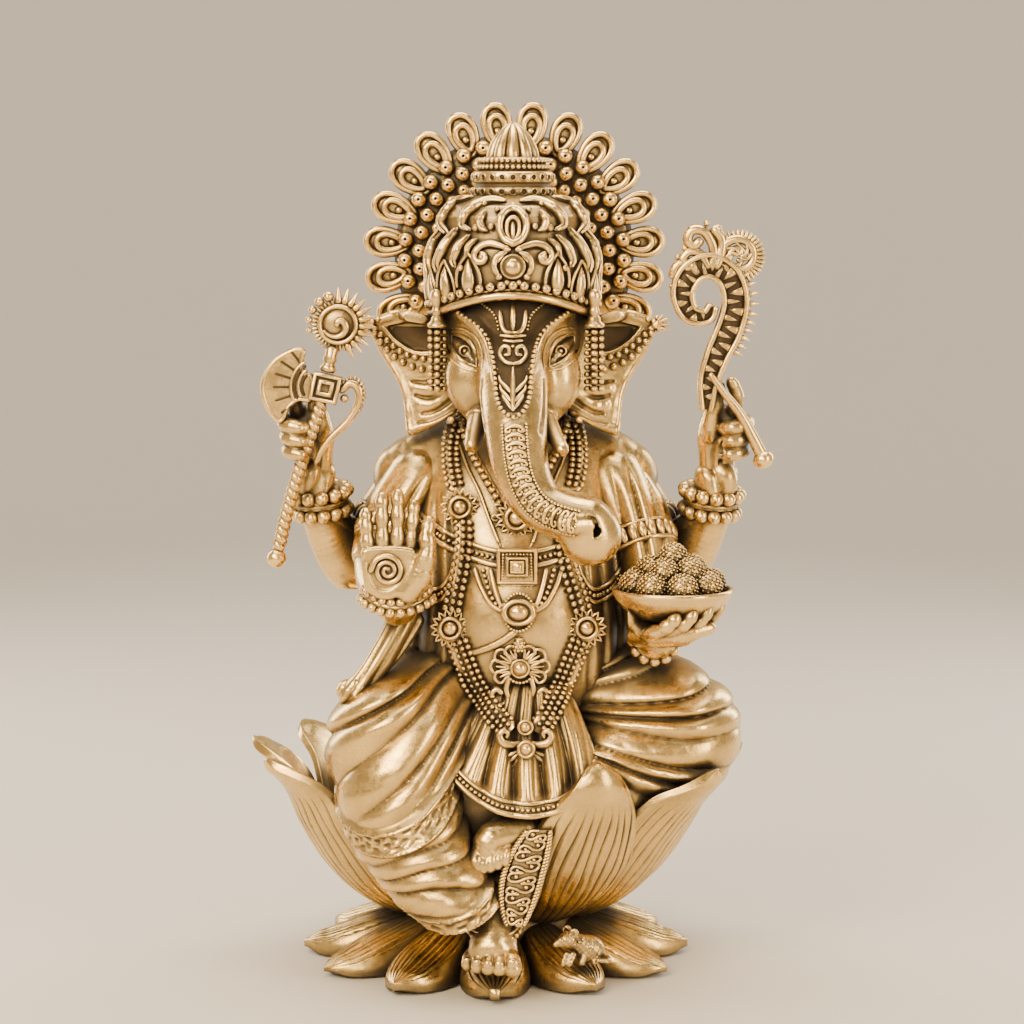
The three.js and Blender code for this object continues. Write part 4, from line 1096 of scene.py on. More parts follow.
def crown_dome():
    """The dome: rim, leaves, gem, plume loop and scrolls over a dark ground."""
    dome = Casting()
    rows, sides = 110, 320
    z = np.linspace(0, 1, rows)[:, None]
    turn = (np.arange(sides) * TAU / sides - math.pi)[None, :]
    base = rim_height(turn) - 0.5
    height = lerp(base, 267.2, z)
    lower = smooth(height, 235, 239) * (1 - smooth(height, 250, 254))
    upper = smooth(height, 255, 258) * (1 - smooth(height, 264, 267))
    flute = fold(turn * 24 / TAU + 0.03 * (height - 240), 0.7) * 2.0 * lower
    flute = flute + fold(turn * 20 / TAU - 0.04 * (height - 258), 0.7) * 1.6 * upper
    behind = smooth(np.abs(turn), 1.5, 1.8)
    points = on_crown(turn, height, flute * behind - 0.9 * (1 - behind) * smooth(height, 230, 234))
    cap = points[-1:] * np.array([0.0, 0.0, 1.0]) + np.array([FACE_X, CROWN_Y, 0.3])
    ground = Casting().loft(np.concatenate([points, lerp(points[-1:], cap, 0.6)]))
    cast("crown_ground", ground, DARK, "crown_dome")

    def rod(points, radius, side=None, lift=0.25, count=30, taper=0.5):
        for mirror in (RIGHT, LEFT) if side is None else (side,):
            dome.tube(crown_line(mirror, points, lift, count), slimmed(radius, taper, count), 9)

    def ball(x, z, radius, lift=0.3):
        for mirror in (RIGHT, LEFT) if x else (LEFT,):
            turn = math.asin(mirror * x / crown_radius(z))
            dome.bead(on_crown(np.array(turn), z, lift), radius, (math.sin(turn), -math.cos(turn), 0),
                      sides=12)

    around = np.linspace(-math.pi, math.pi, 241)[:-1]
    bar = on_crown(around, rim_height(around), 0.9)
    dome.tube(bar, 1.45, 12, loop=True, up=(0, 0, 1))
    bar = on_crown(around, rim_height(around) + 1.9, 0.4)
    dome.tube(bar, 0.45, 8, loop=True, up=(0, 0, 1))
    for turn in np.linspace(-math.pi, math.pi, 51)[:-1]:
        at = on_crown(np.array(turn), float(rim_height(turn)) + 3.3, 0.7)
        dome.drilled_bead(at, 1.65, (math.sin(turn), -math.cos(turn), 0))
    for turn in np.radians([30, 50, 70, 90, 110, 130, 150, 170]):
        for side in (RIGHT, LEFT):
            lancet(dome, side * turn, float(rim_height(turn)) + 5.0, 4.5, 11.0)
    # gem with its four claws
    face = (0, -1, 0)
    gem = on_crown(np.array(0.0), 243.6, 0)
    dome.turned([(0.01, 1.7), (1.6, 1.6), (2.5, 1.2), (2.8, 0.3), (3.5, 0.2), (3.9, 0.9), (4.3, 0.2),
                 (4.4, -1.5)], gem, face, 30)
    rod([(2.6, 248.2), (5.4, 246.8), (6.2, 243.6), (5.0, 241.0)], 1.15, taper=0.3)
    ball(4.6, 240.2, 1.3)
    ball(2.0, 238.3, 1.1)
    # pair of scrolls above the gem
    rod([(1.4, 249.3), (4.0, 250.4), (7.6, 251.2), (10.8, 250.2), (12.6, 247.6), (11.8, 245.4),
         (9.9, 245.2), (9.0, 246.9), (10.3, 248.0)], 1.25, lift=0.5, count=44, taper=0.35)
    rod([(2.4, 248.9), (3.6, 246.8), (5.4, 244.8)], 0.6)
    ball(2.1, 249.4, 1.35)
    ball(10.2, 246.8, 1.2, 0.5)
    # plume loop
    outline = [(0, 251.2), (2.6, 252.6), (4.2, 256), (3.9, 259.6), (2.0, 262.2), (0, 263)]
    rod(outline, 1.35, lift=1.0, count=36, taper=0.0)
    rod([(0.9, 252.8), (1.9, 255), (1.9, 258), (1.0, 259.6), (0, 260.0)], 0.7, lift=1.1, count=24,
        taper=0.0)
    rod([(0, 252.4), (0, 255), (0, 258.2)], 0.8, LEFT, 1.2, 16, 0.6)
    ball(0, 263.8, 1.2, 0.6)
    # broad leaves sweeping out under the bands
    leaves = (
        (1.9, [(2.6, 265.4), (7.2, 265.6), (12.4, 263.8), (16.0, 260.6), (16.6, 257.0), (14.2, 255.8)]),
        (1.6, [(9.2, 262.0), (11.0, 259.0), (10.2, 256.4), (8.6, 255.6)]),
        (1.8, [(13.4, 266.6), (19.4, 264.8), (22.8, 261.2), (23.8, 257.2), (21.8, 254.6)]),
        (1.7, [(14.6, 253.8), (17.8, 250.2), (19.6, 245.8), (19.0, 243.6)]),
        (1.9, [(18.4, 256.0), (22.6, 250.6), (25.0, 245.0), (24.6, 241.6)]),
        (1.8, [(23.6, 255.6), (26.6, 251.2), (28.2, 245.6), (27.6, 241.0)]),
        (1.3, [(12.0, 252.6), (14.6, 250.2), (15.4, 247.2)]))
    for radius, leaf in leaves:
        rod(leaf, radius, lift=0.3, count=34, taper=0.65)
        rod(leaf, 0.35 * radius, lift=0.3 + 0.85 * radius, count=34, taper=0.4)
    for x, z, radius in ((12.2, 256.4, 1.4), (19.4, 254.6, 1.5), (17.2, 243.0, 1.2), (7.2, 256.8, 1.2),
                         (22.8, 240.2, 1.2), (9.4, 264.4, 1.1), (5.2, 262.6, 1.1)):
        ball(x, z, radius, 0.4)
    return cast("crown_dome_casting", dome, JEWEL, "crown_dome")


def lancet(casting, turn, z, half, tall):
    """A pointed leaf standing on the dome, bordered by a raised line."""
    shares = np.linspace(0, 1, 17)
    profile = half * np.sin(np.pi * (0.42 + 0.58 * shares)) ** 0.8
    for side in (-1, 1):
        line = on_crown(turn + side * profile / 29, z + tall * shares, 0.35)
        casting.tube(line, 0.62, 7)
    spine = on_crown(turn + 0 * shares, z + 0.82 * tall * shares, 0.2)
    casting.tube(spine, 0.52 * profile + 0.15, 10, flat=0.62, up=(math.sin(turn), -math.cos(turn), 0))


def crown_tiers():
    """Two stepped bands of set holes, rows of beads and a lobed finial."""
    tiers, holes = Casting(), Casting()
    at = (FACE_X, CROWN_Y, 0)
    z0 = low("crown_tiers")[2] + 0.3
    rows = [(0.01, -1.5), (13.4, -1.4), (14.0, 0), (14.3, 0.3), (14.3, 2.5), (14.0, 2.9), (12.9, 3.3),
            (12.9, 4.3), (13.6, 4.7), (13.9, 5.0), (13.9, 7.8), (13.5, 8.2), (12.2, 8.6), (11.6, 8.9),
            (11.4, 12.6), (10.6, 13.0), (9.6, 13.3), (0.01, 13.4)]
    tiers.turned([(r, z0 + z) for r, z in rows], at, sides=96)
    for turn in np.arange(24) * TAU / 24:
        way = np.array([math.sin(turn), -math.cos(turn), 0])
        for radius, z, size in ((14.35, 1.5, 1.0), (13.95, 6.4, 0.95)):
            spot = np.array(at) + radius * way + (0, 0, z0 + z)
            tiers.turned([(size * 0.85, -1.2), (size * 0.9, 0.1), (size * 1.1, 0.4), (size * 1.35, 0.1),
                          (size * 1.4, -0.8)], spot, way, 12)
            holes.turned([(0.01, -0.6), (size * 0.9, -0.6), (size * 0.9, 0.12), (0.01, 0.12)], spot, way,
                         12)
    cast("crown_tier_holes", holes, INLAY)
    for radius, z, count, size in ((12.0, 9.9, 40, 0.95), (11.9, 12.1, 40, 0.9)):
        for turn in np.arange(count) * TAU / count:
            tiers.bead((FACE_X + radius * math.sin(turn), CROWN_Y - radius * math.cos(turn), z0 + z),
                       size, (0, 0, 1), sides=8)
    shares = np.linspace(0, 1, 40)[:, None]
    turn = (np.arange(200) * TAU / 200)[None, :]
    outer = 9.4 * (1 - shares ** 1.75) ** 0.72 + 0.02
    lobes = np.abs(np.cos(turn * 5)) ** 0.42
    r = outer * (0.72 + 0.28 * lobes)
    top = high("crown_tiers")[2] - 1.2
    z = lerp(z0 + 12.8, top, shares)
    tiers.loft(np.stack([FACE_X + r * np.sin(turn), CROWN_Y - r * np.cos(turn), z + 0 * turn], axis=-1))
    return cast("crown_tiers_casting", tiers, JEWEL, "crown_tiers")


# ---- Halo ----

HALO_X = middle("feather_halo")[0]
HALO_Z = high("feather_halo")[2] - 50.5
HALO_Y = middle("feather_halo")[1]
FEATHER_ANGLES = [side * (7.8 + 15.4 * k) for side in (RIGHT, LEFT) for k in range(8)]


def halo():
    """A fan of feather eyes on a plate, with three rows of drilled beads."""
    fan = Casting()

    def place(turn, r, y):
        return np.array([HALO_X + r * math.sin(turn), y, HALO_Z + r * math.cos(turn)])

    def framed(turn, points, y):
        """[across, outward] points of a feather as places in the fan."""
        cos, sin = math.cos(turn), math.sin(turn)
        return np.array([(HALO_X + a * cos + r * sin, y + h, HALO_Z - a * sin + r * cos)
                         for a, r, h in points])

    shares = np.linspace(0, 1, 48, endpoint=False) * TAU
    drop = np.stack([5.5 * np.sin(shares) * (1 - 0.34 * (1 - np.cos(shares)) / 2) ** 1.2,
                     45.0 + 7.6 * np.cos(shares)], axis=1)
    for number, angle in enumerate(FEATHER_ANGLES):
        turn = math.radians(angle)
        y = HALO_Y - 1.0 + 0.8 * (number % 2)
        for scale, radius, lift, shift in ((1.0, 1.15, -1.5, 0), (0.62, 1.2, -2.0, -0.9)):
            points = [(scale * a, 45 + shift + scale * (r - 45), lift) for a, r in drop]
            fan.tube(framed(turn, points, y), radius, 8, loop=True)
        fan.bead(framed(turn, [(0, 43.4, -1.2)], y)[0], 1.6, (0, -1, 0), 0.75)
        plate = [framed(turn, [(s * a, 45 + s * (r - 45), h) for a, r in drop], y)
                 for s, h in ((0.05, -1.1), (0.99, -1.3), (1.06, 0), (0.99, 2.0), (0.55, 2.6),
                              (0.05, 2.2))]
        fan.loft(np.array(plate))
        fan.tube(framed(turn, [(0, 14, 2.4), (0, 26, 3.2), (0, 38, 2.8), (0, 50, 1.6)], y),
                 [1.5, 1.3, 1.1, 0.6], 8)
    # the plate that carries the feathers
    span = np.radians(np.linspace(-124, 124, 90))
    rings = []
    for turn in span:
        section = ((16, -1.0), (40, -1.4), (42.5, 0.2), (40, 2.0), (16, 2.2), (14.5, 0.5))
        rings.append([place(turn, r, HALO_Y + y) for r, y in section])
    fan.loft(np.array(rings))
    for r, size, offset, deep in ((38.6, 2.85, 0.5, 3.4), (33.6, 2.75, 0.0, 4.0), (28.6, 2.5, 0.5, 3.4)):
        for k in range(-11, 12):
            turn = math.radians(11.0 * (k + offset))
            if abs(turn) < math.radians(121):
                fan.drilled_bead(place(turn, r, HALO_Y - deep), size, (0.1 * math.sin(turn), -1, 0.05))
    return cast("halo_casting", fan, JEWEL, "feather_halo")


# ---- Feet and lower cloth ----

def right_foot():
    """The foot that stands on the front petal, its toes to the front, with an anklet of beads."""
    clay = Clay.around(["right_foot"], 0.32, 3)
    x, y, top = middle("right_foot")[0], low("right_foot")[1], high("right_foot")[2]
    clay.limb([(x + 0.4, y + 20, top - 2, 7.0), (x + 0.4, y + 15.5, 25, 7.0), (x, y + 10.5, 18, 6.4)],
              blend=3)
    clay.limb([(x - 3, y + 11, 17, 5.4), (x - 4.4, y + 8.6, 14.6, 3.6)], blend=3)
    clay.limb([(x + 3, y + 11, 17, 5.4), (x + 4.4, y + 8.6, 14.6, 3.6)], blend=3)
    for step, size in ((-8.2, 2.1), (-4.9, 2.3), (-1.5, 2.4), (2.0, 2.5), (6.2, 3.2)):
        reach = y + 2.6 + 0.05 * step * step - 0.25 * step
        clay.limb([(x + 0.8 * step, reach + 5.4, 15.6, size), (x + step, reach + 1.6, 14.6, 0.95 * size),
                   (x + 1.05 * step, reach, 12.6, size)], blend=0.3)
        nail = (x + 1.05 * step, reach - 0.62 * size, 13.0 + 0.55 * size)
        clay.egg(nail, (0.60 * size, 0.35 * size, 0.55 * size), 0.3)
    foot = Casting().clay(clay)
    ring = [(x + 0.4 + 8.3 * math.cos(t), y + 15.4 + 7.6 * math.sin(t), 25.4 + 3.2 * math.sin(t)
             + 0.3 * math.cos(3 * t)) for t in np.arange(40) * TAU / 40]
    foot.tube(ring, 0.8, 8, loop=True, up=(0, 0, 1))
    for i in range(22):
        t = i * TAU / 22
        foot.bead((x + 0.4 + 8.5 * math.cos(t), y + 15.2 + 7.8 * math.sin(t), 23.4 + 3.2 * math.sin(t)),
                  1.15, (0, 0, 1))
    return cast("right_foot_casting", foot, SKIN, "right_foot")


def left_foot():
    """The toes of the folded leg, hanging below the apron's hem."""
    clay = Clay.around(["left_foot"], 0.32, 3)
    lo, hi = low("left_foot"), high("left_foot")
    clay.limb([(hi[0] - 5, lo[1] + 10, hi[2] - 6, 5.6), (lo[0] + 8, lo[1] + 7.4, 54, 5.4),
               (lo[0] + 6, lo[1] + 6.2, 50.5, 4.6)], blend=3)
    for i, (size, drop) in enumerate(((2.5, 0.6), (2.0, 0.0), (1.9, 0.5), (1.75, 1.4), (1.6, 2.6))):
        x = lo[0] + 2.4 + 2.5 * i
        y = lo[1] + 3.3 - 0.3 * i
        clay.limb([(x + 1.2, y + 3, 50 + 0.3 * i, size), (x + 0.2, y, 46.6 + drop, 0.95 * size),
                   (x - 0.1, y - 0.1, 44.4 + drop, size)], blend=0.7)
        clay.egg((x - 0.1, y - 0.75 * size, 44.2 + drop), (0.6 * size, 0.35 * size, 0.6 * size), 0.3)
    return cast("left_foot_casting", Casting().clay(clay), SKIN, "left_foot")


def apron():
    """The pleated front cloth that flares to a hem edged with beads."""
    lo, hi = low("apron_cloth"), high("apron_cloth")
    x0 = (lo[0] + hi[0]) / 2
    rows, cols = 90, 220
    v = np.linspace(0, 1, rows)[:, None]
    u = np.linspace(-1, 1, cols)[None, :]

    def surface(u, v, lift=0.0):
        half = lerp(12.5, 25.5, v ** 0.8)
        hem = lo[2] + 1.2 + 12.0 * np.abs(u) ** 2.2
        z = lerp(hi[2], hem, v)
        swing = u * 2.6 + 0.10 * np.sin(4 * v + 3 * u) + 0.5
        fine = 0.5 * fold(3 * swing + v, 0.8)
        pleat = fold(swing, 0.75) * lerp(1.6, 5.4, v) * (1 - 0.5 * np.abs(u) ** 4) + fine
        pleat = pleat * (1 - 0.80 * smooth(v, 0.84, 0.92)) + 1.6 * smooth(v, 0.84, 0.92)
        y = lerp(lo[1] + 21.0, lo[1] + 3.4, v ** 0.85) + 7.5 * u * u * lerp(0.6, 1.0, v) - pleat - lift
        return np.stack(np.broadcast_arrays(x0 + u * half, y, z), axis=-1)

    front = surface(u, v)
    back = surface(u, v) + np.array([0, 4.0, 0])
    sheet = np.concatenate([front, back[:, ::-1]], axis=1)
    cloth = Casting().loft(sheet)
    s = np.linspace(-1, 1, 160)
    for drop, radius in ((0.0, 0.95), (-4.4, 0.75)):
        share = 1 + drop / 46 + 0 * s
        line = surface(s, share, 0.4)
        cloth.tube(smoothed(line, 6), radius, 9)
    line = smoothed(surface(s, 1 - 2.2 / 46 + 0 * s, 0.5), 6)
    cloth.string(line, 0.78, 2.25, (0, -1, 0), sides=9)
    return cast("apron_casting", cloth, CLOTH, "apron_cloth")


def smoothed(line, passes):
    """The line with its wiggles averaged away, its ends kept."""
    line = np.array(line, float)
    for _ in range(passes):
        line[1:-1] = 0.25 * line[:-2] + 0.5 * line[1:-1] + 0.25 * line[2:]
    return line


def sash_end():
    """An openwork strip between two rope borders that hangs beside the right shin."""
    lo, hi = low("sash_end"), high("sash_end")
    strip = Casting()

    def at(u, v, lift):
        half = 7.0 * np.sin(np.pi * lerp(0.16, 0.90, v)) ** 0.7
        x = lerp(hi[0] - 7.6, lo[0] - 0.6, v) + u * half - 1.6 * np.sin(np.pi * v)
        y = lerp(lo[1] - 3.4, lo[1] - 7.6, v) + 0.8 * u * u
        return np.stack(np.broadcast_arrays(x, y - lift, lerp(hi[2] + 15, lo[2] + 5, v)), axis=-1)

    v = np.linspace(0, 1, 40)[:, None]
    u = np.array([-1, -0.5, 0, 0.5, 1])[None, :]
    strip.loft(np.concatenate([at(u, v, 0), at(u[:, ::-1], v, -4.0)], axis=1))
    share = np.linspace(0.01, 0.99, 260)
    for side in (-1, 1):
        for phase in (0, math.pi):
            turn = share * 90 + phase
            rope = at(side * 0.92 + 0.10 * np.cos(turn), share, 0.7 + 0.5 * np.sin(turn))
            strip.tube(rope, 0.52, 7)
    for row in range(9):
        middle_share = (row + 0.5) / 9
        hand = 1 if row % 2 else -1
        curl = np.array([(0.05, -0.055), (0.55, -0.05), (0.66, 0.0), (0.45, 0.035), (0.10, 0.03),
                         (-0.15, 0.005), (-0.5, -0.01), (-0.66, 0.03), (-0.4, 0.058), (-0.15, 0.045)])
        line = at(hand * curl[:, 0], middle_share + curl[:, 1], 0.6)
        strip.tube(curve(line, 40), 0.55, 7)
        strip.bead(at(np.array(hand * 0.3), np.array(middle_share - 0.015), 0.7), 0.75)
        strip.bead(at(np.array(-hand * 0.32), np.array(middle_share + 0.03), 0.7), 0.6)
    return cast("sash_casting", strip, JEWEL, "sash_end")


# ---- Arms ----

REAR_ARM = [(31, 9, 171, 12), (42, 10, 157, 11.2), (50, 9, 145, 10.4), (57, 8, 137.5, 9.8),
            (62.5, 4, 145, 9.0), (66.5, -1, 154, 7.6), (69, -4.5, 163, 6.9), (70, -6, 170, 6.6)]
FRONT_ARM = [(33, -3, 168, 12), (41, -8, 155, 11.4), (45, -14, 145, 10.4), (45.5, -22, 137, 9.4),
             (43.5, -32, 133.5, 8.2), (41, -42, 133.5, 7.0)]
BOWL_ARM = [(33, -3, 168, 12), (41, -8, 155, 11.4), (45, -14, 142, 10.4), (46, -22, 129.5, 9.6),
            (46, -31, 121.5, 8.4), (47.5, -40, 119, 7.2)]


def arm(name, side, stations, sleeve):
    """An arm whose sleeve folds run down to the armlet and whose forearm is bare."""
    clay = Clay.around([name], 0.5, 5)
    line = sided(side, stations)
    clay.limb(line, blend=2, count=36)
    (ax, ay, az, _), (bx, by, bz, _) = line[1], line[2]
    cross = unit(np.cross((bx - ax, by - ay, bz - az), (0, 1, 0)))

    def drape(x, y, z):
        along = (x - ax) * (bx - ax) + (y - ay) * (by - ay) + (z - az) * (bz - az)
        along = along / ((bx - ax) ** 2 + (by - ay) ** 2 + (bz - az) ** 2)
        across = (x - ax) * cross[0] + (y - ay) * cross[1] + (z - az) * cross[2]
        folds = drapery(across / 7.5 + 0.25 * along + 0.02 * y, ripple((x, y, z), 20), 0.65) * 2.2
        folds = folds * smooth(along, -1.5, -0.3)
        return folds * (1 - smooth(along, sleeve - 0.12, sleeve)) + 0.5 * (along < sleeve)

    clay.press(drape)
    return cast(name + "_casting", Casting().clay(clay), SKIN, name)


def round_point(centre, radius, turn):
    """A point on an upright ring about a centre, turn radians up from +X."""
    x, y, z = centre
    return (x + radius * math.cos(turn), y, z + radius * math.sin(turn))


def arc_points(centre, radius, turns):
    """Points of an upright ring at some turns."""
    return [round_point(centre, radius, turn) for turn in turns]


def spoke(centre, radii, turn):
    """Points of a ray from a centre at some distances."""
    return [round_point(centre, radius, turn) for radius in radii]


def bead_ring(casting, at, axis, radius, count, size, oval=1.0):
    """A ring of beads strung about an axis."""
    w = unit(axis)
    u = unit(np.cross((0, 1, 0) if abs(w[1]) < 0.9 else (1, 0, 0), w))
    v = np.cross(w, u)
    for t in np.arange(count) * TAU / count:
        way = math.cos(t) * u + oval * math.sin(t) * v
        casting.bead(np.asarray(at) + radius * way, size, way, sides=14)


def bracelet(name, axis, radius, beads=13, size=2.55):
    """Two rings of large beads with a plain ribbed ring between."""
    at, w = middle(name), unit(axis)
    ring = Casting()
    for side, swell in ((-1, 1.0), (1, 1.06)):
        bead_ring(ring, at + side * 3.3 * w, w, radius * swell, beads, size)
        hoop = radius * swell - 0.4
        ring.turned([(hoop - 2, -1.7), (hoop - 0.4, -1.8), (hoop, 0), (hoop - 0.4, 1.8), (hoop - 2, 1.7)],
                    at + side * 3.3 * w, w, 48)
    edge = radius + 0.7
    ring.turned([(edge - 3.4, -1.6), (edge - 0.9, -1.3), (edge - 0.2, -0.9), (edge - 0.7, -0.35),
                 (edge + 0.1, 0.2), (edge - 0.6, 0.8), (edge - 0.9, 1.4), (edge - 3.4, 1.6)], at, w, 64)
    return cast(name + "_casting", ring, JEWEL, name)


def armlet(name, side, stations, share=0.5):
    """A ring of fat ribs round the upper arm."""
    line = np.array(sided(side, stations[1:3]))
    at, radius = lerp(line[0, :3], line[1, :3], share), lerp(line[0, 3], line[1, 3], share)
    w = unit(line[1, :3] - line[0, :3])
    u = unit(np.cross((0, 1, 0), w))
    v = np.cross(w, u)
    ring = Casting()
    for t in np.arange(22) * TAU / 22:
        way = math.cos(t) * u + math.sin(t) * v
        ring.bead(at + (radius + 0.9) * way, 1.6, w, 2.0, 12)
    for side_step in (-3.2, 3.2):
        hoop = radius + 1.3
        ring.turned([(hoop - 3, -0.7), (hoop, -0.6), (hoop + 0.4, 0), (hoop, 0.6), (hoop - 3, 0.7)],
                    at + side_step * w, w, 48)
    return cast(name, ring, JEWEL)


# ---- Hands ----

def finger(clay, points, sizes, blend=0.5):
    """A finger in phalanges: each swells in its middle and creases at its joints."""
    points = [np.array(p, float) for p in points]
    for a, b, ra, rb in zip(points, points[1:], sizes, sizes[1:]):
        inner = lerp(a, b, 0.12)
        outer = lerp(a, b, 0.92)
        mid = (ra + rb) / 2
        clay.limb([(*inner, 0.88 * mid), (*lerp(inner, outer, 0.5), 1.08 * mid), (*outer, 0.88 * mid)],
                  blend, count=7)


def raised_hand(name, side):
    """A hand closed round a shaft, its forefinger and thumb raised."""
    clay = Clay.around([name], 0.33, 4)

    def at(x, y, z):
        return (BODY_X + side * x, y, z)

    clay.limb([(*at(70, -6, 169), 6.3), (*at(69.5, -7.2, 177), 6.2), (*at(69.2, -8.5, 185), 6.6),
               (*at(69.6, -9.5, 191), 5.4)], blend=2, squash=(1, 0.82, 1))
    clay.limb([(*at(71.5, -9, 184), 5.2), (*at(73.5, -10, 188.5), 4.6)], blend=2)
    finger(clay, [at(67.0, -12.5, 184), at(67.2, -15.5, 192), at(68.6, -16.8, 198.6),
                  at(69.4, -16.2, 202.6)], [3.4, 3.1, 2.7, 2.1], 0.9)
    finger(clay, [at(74.2, -10.5, 190), at(75.8, -13.5, 196.4), at(75.2, -15.5, 201.0),
                  at(73.6, -16.8, 204.0)], [2.9, 2.7, 2.4, 1.8], 0.7)
    for i in range(3):
        z = 189.6 - 4.6 * i
        size = 2.75 - 0.15 * i
        joints = [at(73.0, -8, z), at(79.2 - 0.5 * i, -11.5, z + 0.3), at(79.0 - 0.6 * i, -18.2, z - 0.6),
                  at(73.8 - 0.3 * i, -20.8, z - 1.4), at(71.0, -17.4, z - 1.8)]
        finger(clay, joints, [size, size, size, 0.95 * size, 0.85 * size])
    for step in (-1.6, 1.2):
        clay.trace([(BODY_X + side * (69.4 + step), 172, 0.4), (BODY_X + side * (69.2 + step), 178, 0.7),
                    (BODY_X + side * (69.8 + 0.6 * step), 184, 0.4)], 0.0, 1.0, carve=True)
    return cast(name + "_casting", Casting().clay(clay), SKIN, name)


PALM_X, PALM_Y = -33.2, -55.0


def open_hand():
    """The right front hand, palm forward: a bevelled palm with a scroll on it and four jointed fingers."""
    clay = Clay.around(["open_right_hand"], 0.30, 4)
    x, y = PALM_X, PALM_Y
    clay.limb([(x + 0.6, y + 9, 131, 7.0), (x + 0.2, y + 5, 136, 8.4), (x, y + 3.4, 141, 9.0)], blend=2,
              squash=(1, 0.6, 1))
    palm = [(-9.6, 151.8), (5.8, 151.8), (6.6, 147), (5.6, 141), (3.2, 136.6), (-1.6, 134.2),
            (-6.4, 135.2), (-9.6, 139.6), (-10.4, 146)]
    clay.plate(closed([(x + a, 0, b) for a, b in palm], 60)[:, ::2], lambda x, z: y - 0.6, 3.2, 0.8,
               rounding=1.6)
    clay.limb([(x + 4.6, y - 0.6, 136.6, 4.2), (x + 8.0, y - 1.6, 141.6, 4.2),
               (x + 9.8, y - 2.2, 147.0, 3.4)], blend=1.4)
    clay.limb([(x - 7.4, y - 1.2, 139.0, 2.6), (x - 7.9, y - 1.4, 146.0, 2.6)], blend=1.2)
    for i, (dx, tip, size) in enumerate(((-8.7, 165.4, 2.2), (-3.9, 170.8, 2.4), (0.9, 171.8, 2.4),
                                         (5.6, 168.2, 2.2))):
        tall = tip - 150.5
        lean = 0.55 * (i - 1.4)
        joints = [(x + dx + lean * f, y - 0.4 + 1.6 * f * f, 150.5 + tall * f - (size if f == 1 else 0))
                  for f in (0, 0.36, 0.68, 1)]
        finger(clay, joints, [size, size, 0.96 * size, 0.86 * size], 0.12)
    finger(clay, [(x + 9.4, y - 2.2, 144.4), (x + 11.2, y - 2.8, 151.2), (x + 10.8, y - 1.8, 156.6),
                  (x + 11.6, y - 0.6, 160.6)], [3.3, 2.9, 2.6, 2.0], 0.6)
    ground = [(-8.8, 150.6), (4.8, 150.6), (4.4, 145.6), (2.2, 140.4), (-1.8, 137.4), (-6.2, 138.4),
              (-8.4, 143)]
    clay.plate(closed([(x + a, 0, b) for a, b in ground], 60)[:, ::2], lambda x, z: y - 5.4, 2.0, 0.4,
               carve=True)
    piece = cast("open_right_hand_casting", Casting().clay(clay), SKIN, "open_right_hand")
    wall, gold = Wall(piece), Casting()
    wind = np.linspace(0, 1, 20)
    turn = 1.2 + 2.3 * TAU * wind
    reach = lerp(0.7, 5.4, wind)
    scroll = np.stack([x - 2.2 + reach * np.cos(turn), 144.2 + reach * np.sin(turn)], axis=1)
    gold.tube(wall.lay(scroll, 0.5, 110), lerp(0.7, 1.0, np.linspace(0, 1, 110)), 9)
    cast("palm_scroll", gold, JEWEL)


def palm_bracelet():
    """Two rows of beads hung round the heel of the open hand."""
    beads = Casting()
    x, y = PALM_X + 0.4, PALM_Y + 5.5
    for drop, radius, size in ((0.0, 10.6, 1.75), (-3.3, 11.8, 1.7)):
        turns = np.arange(22) * TAU / 22
        for turn in turns:
            at = (x + radius * math.cos(turn), y + 0.72 * radius * math.sin(turn),
                  133.2 + drop + 3.6 * abs(math.cos(turn)) ** 2)
            beads.bead(at, size, (math.cos(turn), math.sin(turn), 0), sides=14)
    ring = [(x + 10.6 * math.cos(t), y + 7.6 * math.sin(t), 131.6 + 3.6 * abs(math.cos(t)) ** 2)
            for t in np.arange(60) * TAU / 60]
    beads.tube(ring, 1.2, 10, loop=True, up=(0, 0, 1))
    return cast("front_right_bracelet_casting", beads, JEWEL, "front_right_bracelet")


def bowl_hand():
    """The left front hand, flat under the bowl, its four fingers slanting up the bowl's outer side."""
    clay = Clay.around(["bowl_left_hand"], 0.30, 4)
    bx, by = middle("sweets_bowl")[0], middle("sweets_bowl")[1]
    foot = low("sweets_bowl")[2]
    clay.limb([(bx - 9, by + 7, foot - 4.6, 6.2), (bx - 4, by - 1, foot - 3.4, 6.0),
               (bx + 2, by - 7, foot - 2.2, 5.6)], blend=3, squash=(1, 1, 0.7))
    clay.limb([(bx - 6, by - 6, foot - 2.6, 4.4), (bx + 4, by - 11, foot - 0.8, 3.6),
               (bx + 11, by - 9.5, foot + 0.6, 3.0)], blend=2.5, squash=(1, 1, 0.8))
    for i, (dx, rise) in enumerate(((-3.0, 5.0), (2.6, 6.2), (8.0, 7.2), (12.6, 7.8))):
        back = math.sqrt(17.2 ** 2 - (dx + 3.6) ** 2)
        size = 2.35 - 0.12 * i
        joints = [(bx + dx - 5.4, by - 0.62 * back, foot - 1.6 + 0.5 * i),
                  (bx + dx - 1.4, by - 0.90 * back, foot + 0.6 + 0.5 * i),
                  (bx + dx + 1.6, by - 0.99 * back, foot + 3.0 + 0.4 * i),
                  (bx + dx + 3.4, by - back, foot + rise)]
        finger(clay, joints, [size + 0.2, size, 0.95 * size, 0.85 * size], 0.3)
    finger(clay, [(bx - 9, by - 2, foot - 2.4), (bx - 13.4, by - 6, foot + 1.6),
                  (bx - 15.6, by - 8.6, foot + 5.0)], [2.8, 2.5, 2.0], 0.8)
    return cast("bowl_left_hand_casting", Casting().clay(clay), SKIN, "bowl_left_hand")


# ---- Bowl, sweets and mouse ----

